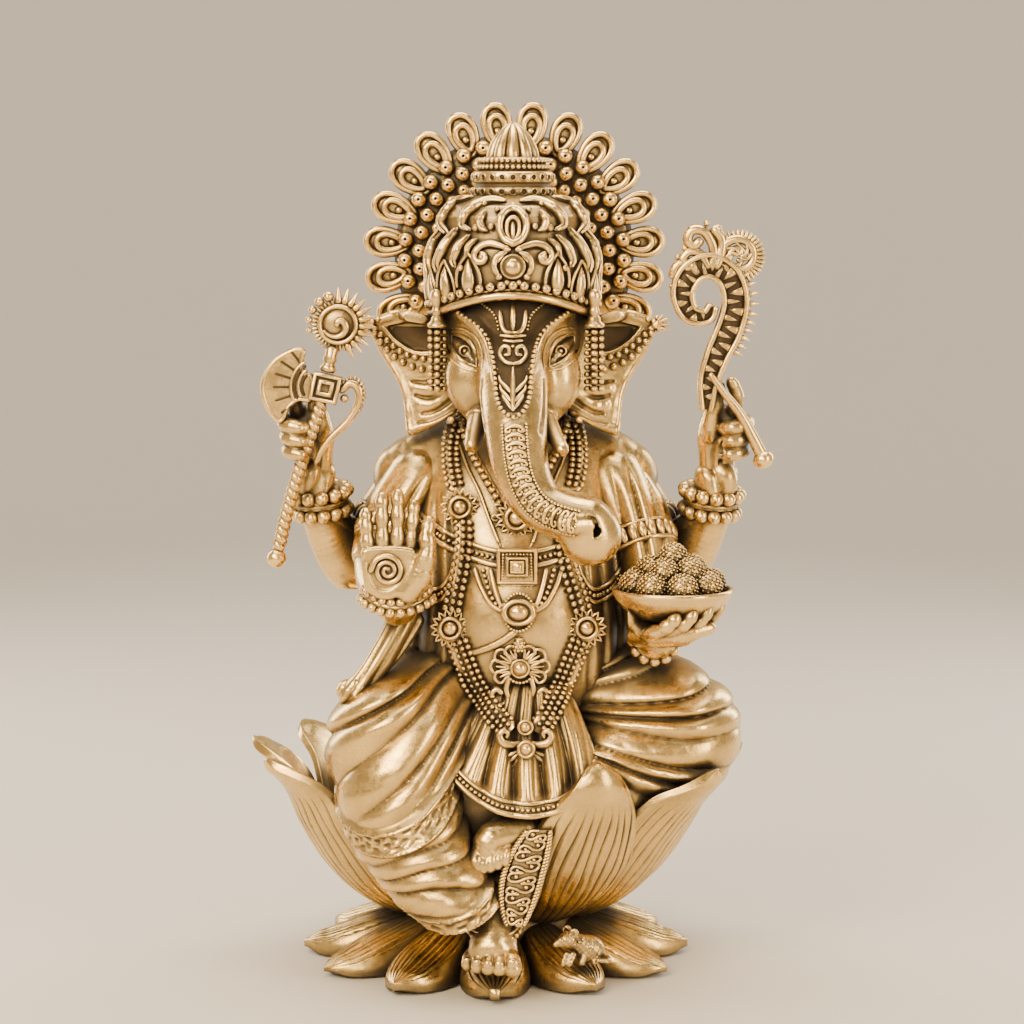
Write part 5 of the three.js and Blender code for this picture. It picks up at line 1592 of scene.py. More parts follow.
def bowl():
    """A shallow bowl with a rolled lip and a line below it."""
    x, y, _ = middle("sweets_bowl")
    foot, top = low("sweets_bowl")[2], high("sweets_bowl")[2]
    reach = (high("sweets_bowl")[0] - low("sweets_bowl")[0]) / 2
    profile = curve([(0.01, 0, foot + 1.4), (7, 0, foot + 1.6), (12.4, 0, foot + 3.2),
                     (16.6, 0, foot + 6.0), (19.2, 0, foot + 9.0), (reach - 0.4, 0, top - 1.8),
                     (reach, 0, top - 0.7), (reach - 0.7, 0, top), (reach - 2.0, 0, top - 0.8),
                     (17.2, 0, top - 2.6), (12, 0, top - 6), (6, 0, top - 8.4), (0.01, 0, top - 9.2)], 60)
    dish = Casting().turned(profile[:, ::2], (x, y, 0), sides=96)
    hoop = reach - 1.7
    dish.turned([(hoop - 0.8, top - 3.9), (hoop, top - 3.6), (hoop + 0.2, top - 3.3), (hoop, top - 3.0),
                 (hoop - 0.8, top - 2.8)], (x, y, 0), sides=72)
    return cast("bowl_casting", dish, SKIN, "sweets_bowl")


def sweets():
    """Granular balls in three tiers, each covered in even grains."""
    x, y, _ = middle("sweets_bowl")
    top = high("sweets_bowl")[2]
    heap = Casting()
    golden = math.pi * (3 - math.sqrt(5))
    for count, ring, z, size, turn in ((8, 13.0, top + 1.0, 5.3, 0.2), (5, 7.4, top + 5.6, 5.1, 0.5),
                                       (1, 0, top + 10.0, 5.1, 0)):
        for i in range(count):
            angle = turn + i * TAU / count
            at = np.array([x + ring * math.cos(angle), y + ring * math.sin(angle), z])
            arc = np.linspace(0.08, math.pi - 0.08, 10)
            core = np.stack([0.92 * size * np.sin(arc), -0.92 * size * np.cos(arc)], axis=1)
            heap.turned(core, at, sides=18)
            for k in range(150):
                h = 1 - 2 * (k + 0.5) / 150
                if h < -0.75:
                    continue
                flat = math.sqrt(1 - h * h)
                way = np.array([flat * math.cos(golden * k), flat * math.sin(golden * k), h])
                heap.bead(at + 0.94 * size * way, 0.52, way, sides=6)
    return cast("sweets_casting", heap, JEWEL, "sweets")


def mouse():
    """A small crouching mouse with round ears and a bead collar."""
    clay = Clay.around(["mouse"], 0.22, 4)
    lo, hi = low("mouse"), high("mouse")
    x, y, z = (lo + hi) / 2
    clay.egg((x + 2.4, y + 1.4, lo[2] + 4.6), (5.2, 4.4, 4.4), 1)
    clay.limb([(x + 3, y + 1.5, lo[2] + 5.2, 4.0), (x - 2, y - 0.6, lo[2] + 7.6, 3.1),
               (x - 5, y - 2.4, lo[2] + 8.8, 2.5)], blend=1.5)
    clay.limb([(x - 4.6, y - 2.6, lo[2] + 9.2, 2.7), (x - 7.4, y - 4.4, lo[2] + 8.6, 1.6),
               (x - 8.8, y - 5.2, lo[2] + 8.2, 0.9)], blend=1.2)
    for dx, dy in ((-2.6, -4.0), (-4.9, 0.6)):
        clay.egg((x + dx, y + dy, lo[2] + 11.6), (1.5, 0.9, 1.7), 0.4)
        clay.egg((x + dx - 0.5, y + dy - 0.9, lo[2] + 11.6), (0.8, 0.7, 1.0), 0.3, carve=True)
    for dx, dy in ((-5.0, -4.4), (-3.0, -4.6), (5.4, -2.2), (1.2, -3.4)):
        clay.limb([(x + dx, y + dy + 1.4, lo[2] + 4.0, 1.3), (x + dx - 1.2, y + dy, lo[2] + 1.4, 1.0)],
                  blend=0.6)
    clay.limb([(x + 6.4, y + 2, lo[2] + 2.4, 1.3), (x + 9.0, y - 0.6, lo[2] + 2.0, 1.0),
               (x + 8.4, y - 4.0, lo[2] + 2.2, 0.8), (x + 5.4, y - 4.8, lo[2] + 2.6, 0.6)], blend=0.5)
    clay.press(lambda x, y, z: 0.10 * np.sin(3.1 * x + 2.0 * y) * np.sin(2.9 * z - 1.2 * y))
    body = Casting().clay(clay)
    for dx, dy in ((-6.6, -5.3), (-7.6, -3.4)):
        body.bead((x + dx, y + dy, lo[2] + 9.6), 0.45)
    collar = [(x - 2.4 + 3.1 * math.cos(t), y - 1.0 + 3.0 * math.sin(t), lo[2] + 7.8 + 1.5 * math.cos(t))
              for t in np.arange(24) * TAU / 24]
    for at in collar[::2]:
        body.bead(at, 0.6, sides=8)
    return cast("mouse_casting", body, DARK, "mouse")


# ---- Axe and goad ----

# the blade's outline, [x, z] from the middle of the block that joins it to the shaft
BLADE = [(-4.6, 3.4), (-7.2, 5.0), (-8.4, 8.0), (-7.9, 10.6), (-7.4, 12.2), (-8.4, 13.0), (-11.2, 12.7),
         (-16.6, 9.6), (-20.3, 4.6), (-21.4, -0.7), (-20.2, -5.8), (-17.6, -9.8), (-15.8, -11.2),
         (-14.6, -10.4), (-12.9, -6.8), (-9.4, -3.8), (-5.2, -3.6)]


def axe():
    """The axe: twisted shaft, blade with dark lines, stepped block, hook and spiral crest."""
    lo, hi = low("battle_axe"), high("battle_axe")
    y = (lo[1] + hi[1]) / 2
    piece = Casting()
    bx, bz = lo[0] + 22.6, hi[2] - 30.5  # the block that joins blade and shaft

    def at(points, lift=0.0):
        return [(bx + px, y - lift, bz + pz) for px, pz in points]

    handle = curve(at([(-1.4, -4), (-3.2, -10), (-6.6, -20), (-10.4, -32), (-13.8, -44), (-16.4, -55)]),
                   220)
    piece.tube(handle, 1.7, 12)
    twist = np.linspace(0, 1, 220) * 62
    for phase in (0, math.pi):
        off = np.stack([np.cos(twist + phase), 0.8 * np.sin(twist + phase), 0 * twist], axis=1) * 1.0
        piece.tube(handle + off, 1.45, 9)
    piece.bead(at([(-17.2, -58.6)])[0], 3.4, (0.1, 0, 1), sides=20)
    clay = Clay((bx - 25, y - 5, bz - 16), (bx, y + 5, bz + 17), 0.28)
    clay.plate(closed([(a, 0, b) for a, b in BLADE], 160)[:, ::2] + (bx, bz), lambda x, z: y, 1.4,
               rounding=0.8)
    piece.clay(clay)
    lines = Casting()
    for face in (-1, 1):
        surface = y + face * 1.45
        border = closed([(bx + a, surface - 0.5 * face, bz + b) for a, b in BLADE], 140)
        piece.tube(border, 0.85, 8, loop=True)
        for t in np.radians((128, 146, 163, 180, 197, 214)):
            lines.tube(spoke((bx - 2, surface - 0.1 * face, bz + 0.4), (10.2, 13.0, 15.4), t), 0.46, 6)
        for number, (r, a, b) in enumerate(((9.8, 122, 208), (8.5, 126, 207), (7.2, 130, 206),
                                            (5.9, 136, 206))):
            band = arc_points((bx - 2, surface, bz + 0.4), r, np.radians(np.linspace(a, b, 20)))
            (lines if number % 2 else piece).tube(band, 0.55, 6)
    stepped_block(piece, (bx, y, bz))
    hook = at([(5.6, -0.6), (8.6, 1.6), (11.4, -0.6), (11.0, -5.6), (7.4, -11.6), (2.0, -16.8),
               (-1.6, -21.6), (-3.2, -25)])
    piece.tube(curve(hook, 60), swelling([0, 0.2, 0.7, 1], [1.4, 1.6, 1.2, 0.9], 60), 10)
    crest = curve(at([(6.0, 2.0), (9.2, 3.6), (12.2, 1.2), (12.9, -3.4), (11.4, -7.6)]), 12)
    for p, along in zip(crest, np.gradient(crest, axis=0)):
        piece.bead(p, 1.05, along, 0.6, 10)
    piece.bead(at([(6.4, -3.6)])[0], 1.5)
    neck = [(0.01, 0), (2.2, 0.2), (3.0, 1.3), (2.3, 2.6), (1.8, 3.4), (2.6, 4.6), (2.0, 6.0), (2.3, 8.4),
            (1.6, 9.2), (0.01, 9.3)]
    piece.turned(neck, at([(0.6, 5.2)])[0], (0.22, 0, 1), 20)
    spiral_crest(piece, bx + 4.4, y, bz + 21.6)
    cast("axe_blade_lines", lines, INLAY)
    return cast("battle_axe_casting", piece, JEWEL, "battle_axe")


def stepped_block(piece, at):
    """A square block between blade and shaft, in steps down to a sunk square."""
    tilt = TAU / 8 - 0.22
    rows = [(0.01, -0.6), (6.6, -0.6), (6.9, -0.2), (6.9, 2.4), (6.5, 3.0), (5.3, 3.0), (5.1, 1.9),
            (3.9, 1.9), (3.8, 2.9), (2.2, 2.9), (2.0, 2.0), (0.01, 2.0)]
    piece.turned(rows, at, (0, -1, 0), 4, spin=tilt)
    piece.turned(rows, at, (0, 1, 0), 4, spin=-tilt)


def spiral_crest(piece, x, y, z):
    """A sunk disc with a comma in it, ringed by ribs, spikes and beads."""
    dish = [(0.01, -0.2), (6.6, -0.2), (7.0, 0.2), (7.0, 1.2), (6.5, 2.0), (5.7, 1.9), (5.4, 1.0),
            (5.2, 0.2), (0.01, 0.1)]
    piece.turned(dish, (x, y, z), (0, -1, 0), 48)
    piece.turned(dish, (x, y, z), (0, 1, 0), 48)
    share = np.linspace(0, 1, 60)
    wind = 3.6 + 4.9 * share
    reach = lerp(5.2, 0.4, share)
    for face in (-1, 1):
        comma = np.stack([x + reach * np.cos(wind), y + face * (0.8 + 0.6 * share),
                          z + reach * np.sin(wind)], axis=1)
        piece.tube(comma, np.interp(share, [0, 0.5, 1], [0.7, 1.3, 1.1]), 9)
    for k in range(38):
        piece.tube(spoke((x, y, z), (6.8, 8.0, 8.9), k * TAU / 38), [0.62, 0.66, 0.45], 7)
    for k in range(11):
        piece.tube(spoke((x, y, z), (8.0, 9.8, 12.6), -1.15 + k * 0.27), [1.35, 1.0, 0.2], 7)
    for k in range(5):
        piece.bead(round_point((x, y, z), 10.0, 1.9 + 0.36 * k), 1.9 - 0.2 * k, sides=14)


def goad():
    """The goad: a toothed hook with a tail below and foliage on top."""
    lo, hi = low("goad"), high("goad")
    y = (lo[1] + hi[1]) / 2
    dx, dz = hi[0] - 95.4, hi[2] - 249.5

    def at(points, lift=0.0):
        return [(px + dx, y - lift, pz + dz) for px, pz in points]

    piece = Casting()
    spine = curve(at([(72.0, 190), (72.6, 199), (75.4, 208), (79.6, 217.5), (81.6, 226.5), (79.4, 234.6),
                      (73.2, 238.6), (66.6, 236.2), (63.6, 229.4), (66.0, 222.6), (71.6, 221.4),
                      (73.8, 224.8)]), 240)
    share = np.linspace(0, 1, 240)
    half = np.interp(share, [0, 0.12, 0.3, 0.75, 0.92, 1], [1.5, 3.0, 3.9, 3.5, 2.4, 1.2])
    along = directions(spine)
    side = np.stack([along[:, 2], 0 * share, -along[:, 0]], axis=1)
    section = [(-1, -0.5), (-0.98, -0.9), (0.98, -0.9), (1, -0.5), (1, 0.5), (0.98, 0.9), (-0.98, 0.9),
               (-1, 0.5)]
    rings = np.stack([spine + side * (a * half)[:, None] + (0, 0.85 * b, 0) for a, b in section], axis=1)
    cast("goad_ground", Casting().loft(rings), INLAY)
    for edge in (-1, 1):
        for face in (-1, 1):
            line = spine + side * (edge * half)[:, None] + (0, face * 0.95, 0)
            piece.tube(line, 1.0, 9)
    teeth = 26
    for k in range(teeth):
        i, m, j = (int(8 + (k + f) * 222 / teeth) for f in (0.06, 0.5, 0.94))
        hand = 1 if k % 2 else -1
        corners = [spine[i] - hand * 0.80 * side[i] * half[i], spine[j] - hand * 0.80 * side[j] * half[j],
                   spine[m] + hand * 0.62 * side[m] * half[m]]
        heart = sum(corners) / 3
        for face in (-1, 1):
            rings = [[lerp(heart, c, grow) + (0, face * deep, 0) for c in corners]
                     for grow, deep in ((1, 0.4), (1, 1.3), (0.6, 1.9))]
            piece.loft(np.array(rings))
    for k in range(13):
        i = 62 + k * 7
        root = spine[i] + side[i] * (half[i] + 0.6)
        piece.tube([root, root + side[i] * 1.5, root + side[i] * 3.4], [1.2, 0.9, 0.15], 6)
    tail = curve(at([(73.5, 201.5), (77.0, 196.6), (83.4, 188.4), (88.2, 179.6), (90.6, 174.8)], 1.5), 40)
    piece.tube(tail, swelling([0, 0.5, 1], [1.1, 1.6, 2.2], 40), 12)
    piece.bead(at([(91.4, 172.8)], 1.5)[0], 3.7, (0.5, 0, -0.86), 0.85, 20)
    # foliage and ribbed spiral on top
    sx, sz = at([(82.6, 241.8)])[0][::2]
    wind = np.linspace(0, 1, 120)
    turn = 3.3 - 2.1 * TAU * 0.86 * wind
    reach = lerp(6.9, 1.2, wind ** 0.9)
    line = np.stack([sx + reach * np.cos(turn), y + 0 * wind, sz + reach * np.sin(turn)], axis=1)
    piece.tube(line, lerp(1.7, 0.8, wind), 10)
    for k in range(30):
        piece.tube(spoke((sx, y, sz), (5.6, 7.4, 8.6), 3.1 - k * TAU / 34), [0.75, 0.8, 0.55], 6)
    for k in range(5):
        t = 2.4 - 0.75 * k
        curl = [round_point((sx, y - 0.6, sz), r, t + a) for r, a in ((1.0, 0), (3, 0.35), (5.0, 0.9))]
        piece.tube(curve(curl, 14), np.linspace(0.8, 0.5, 14), 7)
    piece.tube(curve(at([(73.6, 239), (74.2, 243.2), (73.0, 247.2), (70.4, 250.4), (66.6, 250.6),
                         (65.2, 247.4), (67.2, 245.4), (69.0, 246.8)]), 60), 1.75, 10)
    piece.tube(curve(at([(75.4, 238.8), (76.6, 243), (76.8, 247.4), (74.6, 250.6)]), 30), 1.8, 10)
    piece.tube(curve(at([(72.0, 238.8), (69.6, 242.6), (65.8, 243.4), (63.4, 240.4), (65.0, 238.0),
                         (67.0, 239.2)]), 40), 1.6, 9)
    piece.tube(curve(at([(68.2, 236.6), (64.8, 240.0), (61.4, 238.6), (60.2, 235.4)]), 30), 1.5, 9)
    piece.tube(curve(at([(77.8, 238.6), (80.2, 236.4), (82.6, 236.8)]), 16), 1.3, 8)
    for px, pz, size in ((75.4, 251.2, 1.5), (71.6, 253.0, 1.1), (64.2, 244.6, 1.1), (61.8, 241.6, 0.95),
                         (69.6, 241.0, 0.9), (59.8, 231.8, 0.9), (60.4, 228.6, 0.8), (78.6, 247.8, 1.0)):
        piece.bead(at([(px, pz)])[0], size)
    return cast("goad_casting", piece, JEWEL, "goad")


# ---- Jewellery ----

FRONT = (0, -1, 0.08)


def strands(casting, wall, points, count, radius, lift=1.0, spacing=2.35):
    """Strings of beads side by side along [x, z] points."""
    line = curve([(x, 0, z) for x, z in points], 80)[:, ::2]
    across = sideways(directions(line))
    pitch = 2.18 * radius
    for k in range(count):
        shifted = line + across * (k - (count - 1) / 2) * pitch
        rise = lift + (0.35 if 0 < k < count - 1 else 0)
        path = smoothed(wall.lay(shifted[::5], rise, 80), 10)
        casting.string(path, radius, spacing, (0, -1, 0.1), sides=9)
    base = smoothed(wall.lay(line[::5], 0.2, 60), 8)
    casting.tube(base, count * pitch * 0.42, 10, flat=0.22)


def disc(casting, x, z, wall, lift, profile, sides=32, oval=(1, 1), spin=0.0):
    y = min(wall.front(x + a, z + b) for a in (-2, 0, 2) for b in (-2, 0, 2))
    casting.turned(profile, (x, y - lift, z), FRONT, sides, oval, spin)
    return y - lift


def sunburst(casting, x, z, wall, size=1.0, lift=1.4):
    """A domed boss in a ring, with pointed rays round it."""
    s = size
    boss = [(0.01, -2.5), (4.6 * s, -2.4), (4.9 * s, -0.2), (4.2 * s, 0.1), (4.05 * s, 0.2),
            (3.9 * s, 1.3), (3.3 * s, 1.6), (2.8 * s, 1.2), (2.7 * s, 0.5), (2.35 * s, 0.5),
            (2.2 * s, 1.3), (1.4 * s, 2.1), (0.01, 2.3)]
    y = disc(casting, x, z, wall, lift, boss)
    for k in range(15):
        t = k * TAU / 15 + 0.1
        way = np.array([math.cos(t), 0, math.sin(t)])
        turned = np.array([-math.sin(t), 0, math.cos(t)])
        root = np.array([x, y + 0.1, z])
        for side in (-1, 1):
            loop = [root + 4.2 * s * way + side * 0.78 * s * turned,
                    root + 5.3 * s * way + side * 0.66 * s * turned, root + 6.5 * s * way]
            casting.tube(loop, [0.42, 0.42, 0.26], 7)


def garland(wall):
    """The long garland: three strands to the side medallions, four on to the low pendant."""
    gold = Casting()
    right = [(-12.5, 192), (-15.2, 184), (-15.4, 176), (-13.8, 168)]
    strands(gold, wall, right, 3, 1.05, 1.6)
    strands(gold, wall, [(-10.9, 157), (-10.8, 150), (-11.8, 142), (-13.6, 134), (-14.8, 127)], 3, 1.05,
            1.6)
    strands(gold, wall, [(26, 192), (28.4, 184), (28.6, 176), (27.0, 168)], 3, 1.05, 1.6)
    strands(gold, wall, [(24.0, 158), (23.6, 150), (25.0, 142), (27.8, 134), (30.0, 127)], 3, 1.05, 1.6)
    strands(gold, wall, [(-12.8, 117), (-10.2, 110), (-7.2, 103), (-2.6, 96.6), (2.2, 91.6), (5.2, 89.4)],
            4, 0.95, 1.6)
    strands(gold, wall, [(29.0, 117), (26.0, 110), (23.0, 103), (19.4, 96.4), (16.4, 91.6), (14.6, 89.4)],
            4, 0.95, 1.6)
    sunburst(gold, -12, 162, wall)
    sunburst(gold, -15.2, 122, wall)
    sunburst(gold, 31, 122, wall)
    low_pendant(gold, wall, 10.2, 90.5)
    return cast("garland_casting", gold, JEWEL, "garland")


def low_pendant(gold, wall, x, z):
    """Two rings, a pair of scrolls like horns and a fan of rays."""
    boss = [(0.01, -2.2), (2.4, -2.1), (2.8, 0.3), (2.5, 1.0), (2.0, 0.9), (1.75, 0.5), (1.5, 1.1),
            (0.9, 1.7), (0.01, 1.8)]
    y = disc(gold, x, z, wall, 1.8, boss)
    disc(gold, x + 0.2, z - 6.8, wall, 2.0, [(1.12 * r, h) for r, h in boss])
    for side in (-1, 1):
        horn = [(2.0, -5.4), (4.6, -5.9), (7.4, -5.2), (8.6, -2.8), (7.4, -1.2), (5.9, -2.0), (6.2, -3.2)]
        line = [(x + side * a, y + 0.4 - 0.04 * a, z + b) for a, b in horn]
        gold.tube(curve(line, 40), swelling([0, 0.35, 1], [0.9, 1.55, 0.7], 40), 10)
    fan_x, fan_z = x + 0.2, z - 6.8
    first, last = 1.10 * math.pi, 1.90 * math.pi
    for k in range(9):
        ray = spoke((fan_x, y + 0.4, fan_z), (3.4, 5.2, 7.2), math.pi * (1.14 + 0.72 * k / 8))
        gold.tube(ray, [0.5, 0.85, 0.45], 8)
    gold.tube(arc_points((fan_x, y + 1.4, fan_z), 6.9, np.linspace(first, last, 30)), 0.6, 8)
    for at in arc_points((fan_x, y + 0.6, fan_z), 7.8, np.linspace(first, last, 9)):
        gold.bead(at, 0.6)


def necklaces(wall):
    """An inner string of large beads with a fringe outside it, meeting at a flower."""
    gold = Casting()
    paths = {RIGHT: [(-12, 190), (-9.6, 182), (-5.6, 175), (-1.6, 168.4), (3.0, 161.4)],
             LEFT: [(25, 190), (22.6, 182), (19.0, 176), (15.8, 169.6), (11.4, 162)]}
    fringes = {RIGHT: [(-14, 186), (-9.6, 175), (-5.4, 167), (-2.0, 158.4), (1.2, 151)],
               LEFT: [(27, 186), (22.8, 176), (18.8, 167.4), (15.4, 158.8), (12.8, 151)]}
    for side in (RIGHT, LEFT):
        path, fringe = paths[side], fringes[side]
        gold.string(wall.lay(path, 1.3, 60), 1.4, 2.0, (0, -1, 0.1), sides=12)
        gold.tube(wall.lay([(x - side * 1.9, z - 0.6) for x, z in path], 0.5, 60), 0.45, 7)
        line = wall.lay(fringe, 0.7, 24)
        for p in line:
            tip = p + np.array([-side * 1.2, -0.3, -2.6])
            gold.tube([p, lerp(p, tip, 0.6), tip], [0.4, 0.62, 0.5], 7)
        gold.tube(wall.lay(fringe, 0.8, 60), 0.55, 7)
    x, z = 7.2, 158.8
    sunburst(gold, x, z, wall, 1.05, 1.6)
    y = wall.front(x, z) - 1.0
    for k in range(12):
        t = k * TAU / 12
        loop = [round_point((x, y, z), r, t + a)
                for r, a in ((5.0, 0), (7.2, 0.14), (8.4, 0), (7.2, -0.14))]
        gold.tube(closed(loop, 16), 0.42, 7, loop=True)
    cast("necklaces", gold, JEWEL)


def chest_band(wall):
    """A band of beads between two rods, with a stepped square buckle and its fringe."""
    gold = Casting()

    def level(x):
        return 145.2 + 0.010 * (x - 7.5) ** 2

    reach = np.linspace(-33, 47, 30)
    for dz, radius in ((2.3, 0.85), (-2.3, 0.95)):
        gold.tube(wall.lay([(x, level(x) + dz) for x in reach], 0.5, 140), radius, 9)
    gold.string(wall.lay([(x, level(x)) for x in reach], 0.5, 140), 0.85, 2.3, (0, -1, 0), sides=9)
    x, z = 7.4, 143.2
    y = wall.front(x, z) - 1.6
    root = math.sqrt(2)
    for half, rise, thick in ((6.2, 0.4, 0.75), (3.2, 1.3, 0.6), (1.9, 2.1, 0.55)):
        corners = [(x + a * half, y - rise, z + 0.88 * b * half)
                   for a, b in ((-1, -1), (1, -1), (1, 1), (-1, 1))]
        for a, b in zip(corners, corners[1:] + corners[:1]):
            gold.tube(np.linspace(a, b, 8), thick, 8)
    gold.turned([(0.01, -2), (6.3 * root, -1.9), (6.3 * root, 0.3), (5.8 * root, 0.5), (0.01, 0.5)],
                (x, y, z), FRONT, 4, (1, 0.88), TAU / 8)
    gold.turned([(3.4 * root, 0.3), (3.2 * root, 1.1), (2.2 * root, 1.3), (1.9 * root, 2.2),
                 (1.0 * root, 2.6), (0.01, 3.4)], (x, y, z), FRONT, 4, (1, 0.9), TAU / 8)
    for k in range(9):
        for sign in (-1, 1):
            along = lerp(-4.6, 4.6, k / 8)
            gold.bead((x + along, y - 0.6, z + sign * 4.15), 0.5, sides=8)
            gold.bead((x + sign * 4.75, y - 0.6, z + 0.86 * along), 0.5, sides=8)
    for k in range(9):
        px = x + lerp(-4.6, 4.6, k / 8)
        gold.tube([(px, y - 0.2, z - 6.2), (px, y - 0.3, z - 8), (px, y, z - 9.4)], [0.45, 0.52, 0.48], 7)
    gold.tube([(x - 5.4, y - 0.3, z - 6.3), (x, y - 0.4, z - 6.3), (x + 5.4, y - 0.3, z - 6.3)], 0.5, 8)
    cast("chest_band", gold, JEWEL)


def oval_pendant(wall):
    """Beaded strands in a U below the band, meeting at an oval boss."""
    gold = Casting()
    x, z = 7.9, 128.2
    for side in (RIGHT, LEFT):
        for start, radius, beads in ((14.6, 0.95, False), (11.9, 0.85, True), (9.3, 0.9, False)):
            path = [(x + side * start, 141.6), (x + side * 0.86 * start, 136),
                    (x + side * (0.55 * start + 1), 131.4 - 0.06 * start),
                    (x + side * 4.2, 128.0 + 0.9 * (14.6 - start) / 2)]
            line = wall.lay(path, 0.6, 50)
            if beads:
                gold.string(line, radius, 2.3, (0, -1, 0), sides=9)
            else:
                gold.tube(line, radius, 9)
    profile = [(0.01, -2.4), (4.3, -2.3), (4.7, 0.2), (4.4, 1.2), (3.8, 1.5), (3.2, 1.1), (3.0, 0.4),
               (2.6, 0.4), (2.3, 1.5), (1.4, 2.2), (0.01, 2.5)]
    y = disc(gold, x, z, wall, 1.2, profile, 40, (1, 1.28))
    for t in np.arange(30) * TAU / 30:
        gold.bead((x + 5.1 * math.cos(t), y + 0.2, z + 6.4 * math.sin(t)), 0.66, sides=8)
    cast("oval_pendant", gold, JEWEL)


def side_swags(wall):
    """A beaded swag on each side, from the arm to the chest band."""
    gold = Casting()
    hang = ((37, 141), (32, 136), (26.5, 134.6), (22.5, 139), (21, 143.4))
    for side in (RIGHT, LEFT):
        for drop, beads in ((0, False), (-2.1, True), (-4.2, False)):
            path = sided(side, [(a, b + drop) for a, b in hang])
            line = wall.lay(path, 0.6, 60)
            if beads:
                gold.string(line, 0.8, 2.3, (0, -1, 0), sides=9)
            else:
                gold.tube(line, 0.7, 8)
    cast("side_swags", gold, JEWEL)


def waist(wall):
    """A twisted rope belt all round, a smooth cord above it and a winged flower clasp."""
    gold = Casting()
    lo, hi = low("waist_belt"), high("waist_belt")
    x0, y0 = middle("waist_belt")[:2]
    a, b = (hi[0] - lo[0]) / 2 - 1.6, (hi[1] - lo[1]) / 2 - 1.6
    t = np.arange(300) * TAU / 300

    def ring(t, out, up):
        sag = 6.2 * np.clip(-np.sin(t), 0, 1) ** 1.5
        top = hi[2] - 2.6
        return np.stack([x0 + (a + out) * np.cos(t), y0 + (b + out) * np.sin(t), top - sag + up], axis=-1)

    for phase in np.arange(3) * TAU / 3:
        turn = 46 * t + phase
        gold.tube(ring(t, 0.9 * np.cos(turn), 1.25 * np.sin(turn)), 1.15, 7, loop=True, up=(0, 0, 1))
    gold.tube(ring(t, 0.3, 4.2), 0.85, 8, loop=True, up=(0, 0, 1))
    gold.tube(ring(t, -0.4, -3.4), 0.8, 8, loop=True, up=(0, 0, 1))
    x, z = 8.4, 109.0
    y = min(wall.front(x, z), ring(np.array(-TAU / 4), 0, 0)[1]) - 2.2
    gold.turned([(0.01, -3), (3.2, -2.9), (3.4, 0.4), (3.1, 1.1), (2.6, 0.9), (2.4, 0.5), (2.1, 1.3),
                 (1.2, 2.1), (0.01, 2.3)], (x, y, z), FRONT, 30)
    for side in (RIGHT, LEFT):
        for turn, far, wide in ((1.08, 8.2, 0.30), (0.58, 9.6, 0.27), (0.08, 9.8, 0.26),
                                (-0.42, 9.0, 0.26)):
            loop = []
            outline = ((3.2, 0), (6.0, 0.75), (0.88 * far, 1.0), (far, 0.35), (far, -0.35),
                       (0.88 * far, -1.0), (6.0, -0.75))
            for r, swing in outline:
                t_here = turn + swing * wide
                loop.append((x + side * r * math.cos(t_here), y + 0.7, z + r * math.sin(t_here)))
            gold.tube(closed(loop, 40), 0.55, 8, loop=True)
            vein = [(x + side * r * math.cos(turn), y + 0.7, z + r * math.sin(turn))
                    for r in (3.2, 5.5, 0.8 * far)]
            gold.tube(vein, [0.6, 0.55, 0.35], 7)
        hook = [(3.8, -3.6), (4.6, -7.2), (4.0, -10.4), (5.8, -12.4), (8.6, -11.6), (9.4, -8.8),
                (7.8, -7.2), (6.4, -8.4)]
        gold.tube(curve([(x + side * p, y + 0.9, z + q) for p, q in hook], 44), 1.0, 9)
    for k in range(9):
        gold.bead(round_point((x, y + 0.4, z), 4.9, math.pi * (1.2 + 0.6 * k / 8)), 0.7)
    cone = curve([(0.3, 0, 0), (1.6, 0, 0.9), (2.1, 0, 2.4), (1.5, 0, 4.4), (0.2, 0, 6.2)], 14)[:, ::2]
    gold.turned(cone, (x - 0.3, y + 0.8, z + 5.2), (0, 0, 1), 16)
    for row in range(4):
        for k in range(5):
            t_here = math.pi + (k + 0.5 * (row % 2)) * math.pi / 4.5
            r = (1.7, 2.0, 1.6, 0.9)[row]
            gold.bead((x - 0.3 + r * math.cos(t_here), y + 0.8 + r * math.sin(t_here),
                       z + 6.2 + 1.25 * row), 0.62, sides=8)
    return cast("waist_casting", gold, JEWEL, "waist_belt")


def shawl_ends(wall):
    """The thread across the belly, and the shawl's end that flares at the right hip."""
    cloth = Casting()
    cloth.tube(wall.lay([(-8.5, 113.4), (-3, 115.4), (2.4, 118.2), (6.4, 121.2)], 0.4, 30), 1.25, 9,
               flat=0.7)
    clay = Clay((-62, -56, 90), (-22, -16, 138), 0.4)
    clay.limb([(-30, -33, 130, 4.8), (-34, -38, 120, 4.4), (-40, -42, 111, 3.4), (-44.5, -43, 105, 3.4),
               (-48.3, -43, 100.8, 5.0)], blend=2)
    clay.limb([(-28, -34, 124, 3.6), (-36, -40, 112, 3.0), (-42, -42, 104, 2.8), (-45, -42, 99.8, 3.8)],
              blend=1.2)
    clay.limb([(-49.6, -48.6, 101.0, 1.3), (-47.4, -48.8, 98.6, 1.2)], blend=0.8, carve=True)

    def pleats(x, y, z):
        return 0.8 * fold((0.83 * x - 0.55 * z) / 3.4 + 0.02 * z, 0.8)

    clay.press(pleats)
    cloth.clay(clay)
    return cast("shawl_ends", cloth, CLOTH)


# ---- The making ----

